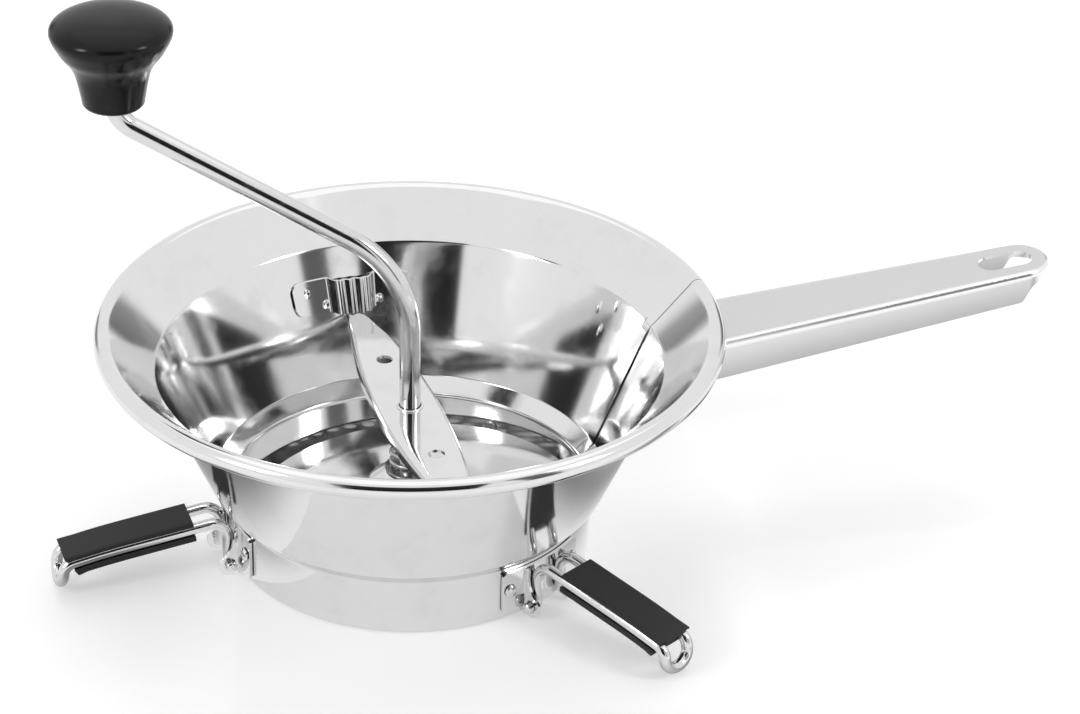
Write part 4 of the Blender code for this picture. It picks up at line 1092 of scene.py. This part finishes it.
# The section goes along the arm and straight on past the hook's bend; the outer end leans over the hook.
def makeSleeve(number, azimuthDeg):
    section = sleeveSection()
    route = legRoute(armMoves, 2.0)
    route = route[route[:, 0] > leg["arch"] * 1.13]
    end = sleeve["start"] + sleeve["length"]
    spots = np.linspace(sleeve["start"], end, 42)
    up = np.interp(spots, route[:, 0], route[:, 1]) + np.maximum(spots - route[-1, 0], 0) * tan(route[-1, 2])
    heading = np.interp(spots, route[:, 0], route[:, 2])
    lean = sleeve["endLean"] * smoothStep(spots, end - 6 * mm, end) - np.sin(heading)
    points = np.stack([spots[:, None] + section[None, :, 1] * lean[:, None],
                       np.broadcast_to(section[None, :, 0], (len(spots), len(section))),
                       up[:, None] + section[None, :, 1] * np.cos(heading)[:, None]], -1)
    name = "legSleeve" + number
    made = objectOf(name, [gridMesh(name, placeLeg(azimuthDeg, points), caps=True)], sleeveBlack, 40)
    soften(made, sleeve["edge"], 60)
    return dress(made, "leg_" + number, "matte_black", "leg_sleeve_" + number)


bracket = {"bottom": 3.4 * mm, "height": 17.8 * mm, "halfAngle": 16.4, "corner": 2.4 * mm, "lobe": 4.6 * mm,
           "rivetAngle": 13.6, "rivetHeight": 13.3 * mm, "shank": 1.4 * mm, "head": 2.6 * mm,
           "headRise": 1.2 * mm, "tail": 2.3 * mm, "tailRise": 0.7 * mm, "edge": 0.18 * mm}


# Ear: a smooth closed outline in the plane beside the wire, thickened sideways
def earMesh(side):
    plateFace = ((bowl["footRadius"] + leg["plateGap"] + leg["plate"]) ** 2 - earInner ** 2) ** 0.5
    low, top = leg["pivotHeight"], bracket["bottom"] + bracket["height"]
    lobe = arc((pivotReach, low), bracket["lobe"], radians(52), radians(-112), 15)
    neck = np.array([(plateFace + 0.9 * mm, top - 0.3 * mm), (plateFace + 1.2 * mm, top - 2.8 * mm),
                     (plateFace + 1.5 * mm, top - 5.6 * mm),
                     (pivotReach + 0.6 * mm, low + bracket["lobe"] + 0.9 * mm)])
    edge = smoothCurve(np.vstack([neck, lobe[2:]]), 5)
    inside = plateFace - 1.0 * mm
    outline = np.vstack([[(inside, top)], edge, [(inside, lobe[-1, 1])]])
    points = np.stack([np.column_stack([outline[:, 0], np.full(len(outline), side * level), outline[:, 1]])
                       for level in (earInner, earInner + leg["plate"])])
    return gridMesh("ear", points, caps=True)


# A curved plate on the foot with rounded corners, joined with two ears and drilled for the wire, then
# turned round Z to the leg's azimuth
def makeBracket(number, azimuthDeg):
    inner = bowl["footRadius"] + leg["plateGap"]
    limit = radians(bracket["halfAngle"])
    azimuth = limit * endShares(51)
    trim = cornerTrim((limit - np.abs(azimuth)) * inner, bracket["corner"], 0.96)
    low, high = bracket["bottom"] + trim, bracket["bottom"] + bracket["height"] - trim
    height = low[:, None] + (high - low)[:, None] * np.linspace(0, 1, 6)[None]
    face = np.full_like(height, inner)
    made = plate("legBracket" + number, azimuth, (face, face + leg["plate"]), (height, height), pressedSteel)
    ears = [objectOf("ear", [earMesh(side)], pressedSteel, 40) for side in (-1.0, 1.0)]
    carve(made, ears, "UNION")
    beyond = earInner + leg["plate"] + 2 * mm
    ends = [(pivotReach, y, leg["pivotHeight"]) for y in (-beyond, beyond)]
    carve(made, [drill(*ends, leg["wire"] + leg["runGap"])])
    made.data.transform(Matrix.Rotation(radians(azimuthDeg), 4, "Z"))
    soften(made, bracket["edge"], 50)
    return dress(made, "bowl", "polished_steel", "leg_bracket_" + number)


# A shank with a domed head outside and a flat one inside, turned round Z, laid down along X and turned to
# its place
def makeRivet(number, azimuthDeg):
    outside = bowl["footRadius"] + 2 * leg["plateGap"] + leg["plate"]
    inside = bowl["footRadius"] - bowl["sheet"] - leg["plateGap"]
    turn = np.linspace(0, pi / 2, 10)
    rise = 0.15 * mm + bracket["headRise"] * np.sin(turn)
    dome = np.column_stack([bracket["head"] * np.cos(turn), outside + rise])
    dome[-1, 0] = 0
    tail = roundedLine([(0, inside - bracket["tailRise"]), (bracket["tail"], inside - bracket["tailRise"]),
                        (bracket["tail"], inside), (bracket["shank"], inside)], (0.3 * mm, 0.15 * mm), 4)
    outline = np.vstack([tail, [(bracket["shank"], outside), (bracket["head"], outside)], dome])
    points = turnedPoints(outline, 32)
    points = np.stack([points[..., 2], points[..., 1], -points[..., 0] + bracket["rivetHeight"]], -1)
    name = "legRivet" + number
    made = objectOf(name, [gridMesh(name, turnZ(azimuthDeg, points), True, False)], wireSteel, 40)
    return dress(made, "bowl", "spring_steel", "leg_rivet_" + number)


for number, azimuthDeg in enumerate(leg["azimuths"], 1):
    makeLegWire(str(number), azimuthDeg)
    makeSleeve(str(number), azimuthDeg)
    makeBracket(str(number), azimuthDeg)
    makeRivet(str(2 * number - 1), azimuthDeg - bracket["rivetAngle"])
    makeRivet(str(2 * number), azimuthDeg + bracket["rivetAngle"])
print("scene: legs made")


# ---- CAD nodes that keep their shape
for name in ("hub_boss", "hub_pin", "knob_retainer"):
    nodes[name].data.materials.clear()
    nodes[name].data.materials.append(springSteel)


# ---- camera, at the photograph's angle
camera = {"place": (-0.3537, -1.2788, 0.8323), "tiltDeg": 60.46, "turnDeg": -17.6, "rollDeg": 1.09,
          "lens": 133.33, "sensor": 36.0, "farthest": 60.0}
cameraBearing = degrees(atan2(camera["place"][1], camera["place"][0]))


def makeCamera():
    data = bpy.data.cameras.new("camera")
    data.lens = camera["lens"]
    data.sensor_width = camera["sensor"]
    data.clip_end = camera["farthest"]
    made = addObject("camera", data)
    made.location = camera["place"]
    turn = Euler((radians(camera["tiltDeg"]), 0.0, radians(camera["turnDeg"]))).to_matrix()
    made.rotation_euler = (turn @ Matrix.Rotation(radians(camera["rollDeg"]), 3, "Z")).to_euler()
    bpy.context.scene.camera = made


# ---- stage: floor, soft lamps, and the studio that polished steel reflects
studio = {"floorSize": 14.0, "floorShade": 0.80, "floorGlow": 0.35, "worldLight": 0.47, "aim": (0, 0, 0.06)}
# Each card: bearing from the camera's, elevation and distance; width and height; shade at the bottom and
# at the top, as shares of its strength; how far its edges fade; strength
cards = {"darkRoom": ((0, 28, 2.6), (2.3, 2.2), (0.012, 0.03), 0.10, 1.0),
         "darkRight": ((45, 25, 2.6), (0.7, 2.2), (0.10, 0.20), 0.12, 1.0),
         "backRight": ((148, 8, 2.6), (0.9, 1.0), (0.10, 0.35), 0.22, 1.0),
         "backLeft": ((-146, 8, 2.6), (0.8, 1.0), (0.12, 0.45), 0.25, 1.0),
         "glintLeft": ((-58, 31, 1.8), (0.60, 0.85), (1.0, 1.0), 0.28, 14.0),
         "glintRight": ((66, 37, 1.8), (0.46, 0.75), (1.0, 1.0), 0.22, 14.0)}
# Each card on the table: a dark sheet of painted shade that only mirrored rays see, lying where the floor
# beside the object is in shadow; its middle; how far it is turned; the same sizes and shades
tableTurn = cameraBearing + 90
shadeCards = {"shadeCardLeft": ((-0.112, 0.006, 0.0), tableTurn, (0.09, 0.20), (0.16, 0.42), 0.042, 1.0),
              "shadeCardRight": ((0.094, -0.046, 0.0), tableTurn, (0.07, 0.20), (0.20, 0.45), 0.034, 1.0),
              "shadeCardHandle": ((0.25, -0.107, 0.0), -6, (0.30, 0.10), (0.40, 0.30), 0.045, 1.0),
              "shadeCardBead": ((0.185, 0.0, 0.0004), 0, (0.11, 0.11), (0.08, 0.20), 0.035, 1.0)}
# Each lamp: bearing, elevation and distance; width and height; power; whether steel mirrors it
lamps = {"overheadSoftbox": ((70 - cameraBearing, 78, 2.2), (2.4, 2.2), 5, True),
         "backSoftbox": ((175, 52, 2.2), (1.2, 1.2), 13, False),
         "leftSoftbox": ((-58, 31, 1.9), (0.45, 0.8), 6.5, False),
         "rightSoftbox": ((66, 37, 1.9), (0.45, 0.8), 6.5, False)}


# Rectangle in its own plane
def addPlane(name, width, height, level=0.0):
    x, y = width / 2, height / 2
    mesh = bpy.data.meshes.new(name)
    mesh.from_pydata([(-x, -y, level), (x, -y, level), (x, y, level), (-x, y, level)], [], [(0, 1, 2, 3)])
    return addObject(name, mesh)


def makeFloor():
    floor = addPlane("floor", studio["floorSize"], studio["floorSize"], -0.15 * mm)
    material, shader, place = startMaterial("paleFloor")
    shade = place.noise(3.0).mixed(grey(studio["floorShade"]), grey(studio["floorShade"] - 0.01))
    feed(shader, Base_Color=shade, Roughness=0.9)
    strength = place.showingRay() * studio["floorGlow"]
    glow = place.make("ShaderNodeEmission", None, {"Strength": strength})
    place.make("ShaderNodeAddShader", None, {0: Wire(place.tree, shader.outputs[0]), 1: glow}).shine()
    floor.data.materials.append(material)


# Where something stands round the object, and how it turns to face it
def around(fromCameraDeg, elevationDeg, distance):
    bearing, elevation = radians(cameraBearing + fromCameraDeg), radians(elevationDeg)
    away = Vector((cos(bearing) * cos(elevation), sin(bearing) * cos(elevation), sin(elevation)))
    return Vector(studio["aim"]) + away * distance, away.to_track_quat("Z", "Y").to_euler()


# Card: a plane that only mirrored rays see; its edges fade to the white of the room
def makeCard(name, place3d, size, shades, fade, strength):
    card = addPlane(name, *size)
    card.location, card.rotation_euler = place3d
    material, shader, place = startMaterial(name)
    across, up, flat = place.parts()
    x, y = size[0] / 2, size[1] / 2
    level = shades[0] + up.between(-y, y) * (shades[1] - shades[0])
    edge = place.maths("MAXIMUM", across.size().between(x - fade, x), up.size().between(y - fade, y))
    tone = (level + edge * (1.0 / strength - level)).mixed(grey(0), grey(strength))
    place.make("ShaderNodeEmission", None, {"Color": tone, "Strength": 1.0}).shine()
    card.data.materials.append(material)
    card.visible_camera = card.visible_diffuse = card.visible_shadow = card.visible_transmission = False


def makeLamp(name, place3d, size, power, mirrored):
    data = bpy.data.lights.new(name, "AREA")
    data.shape = "RECTANGLE"
    data.size, data.size_y = size
    data.energy = power
    lamp = addObject(name, data)
    lamp.location, lamp.rotation_euler = place3d
    lamp.visible_glossy = mirrored


# White where it shows, straight or mirrored, and plain soft light otherwise
def makeWorld():
    world = bpy.data.worlds.new("studio")
    bpy.context.scene.world = world
    world.use_nodes = True
    background = world.node_tree.nodes["Background"]
    strength = (Wire(world.node_tree).showingRay().between(0.0, 1.0) * (1 - studio["worldLight"])
                + studio["worldLight"])
    feed(background, Color=grey(1), Strength=strength)


makeCamera()
makeFloor()
makeWorld()
for name, (spot, *rest) in cards.items():
    makeCard(name, around(*spot), *rest)
for name, (middle, turnDeg, *rest) in shadeCards.items():
    makeCard(name, (middle, Euler((0.0, 0.0, radians(turnDeg)))), *rest)
for name, (spot, *rest) in lamps.items():
    makeLamp(name, around(*spot), *rest)
bpy.context.scene.view_settings.view_transform = "Standard"
print("scene: stage and camera made")
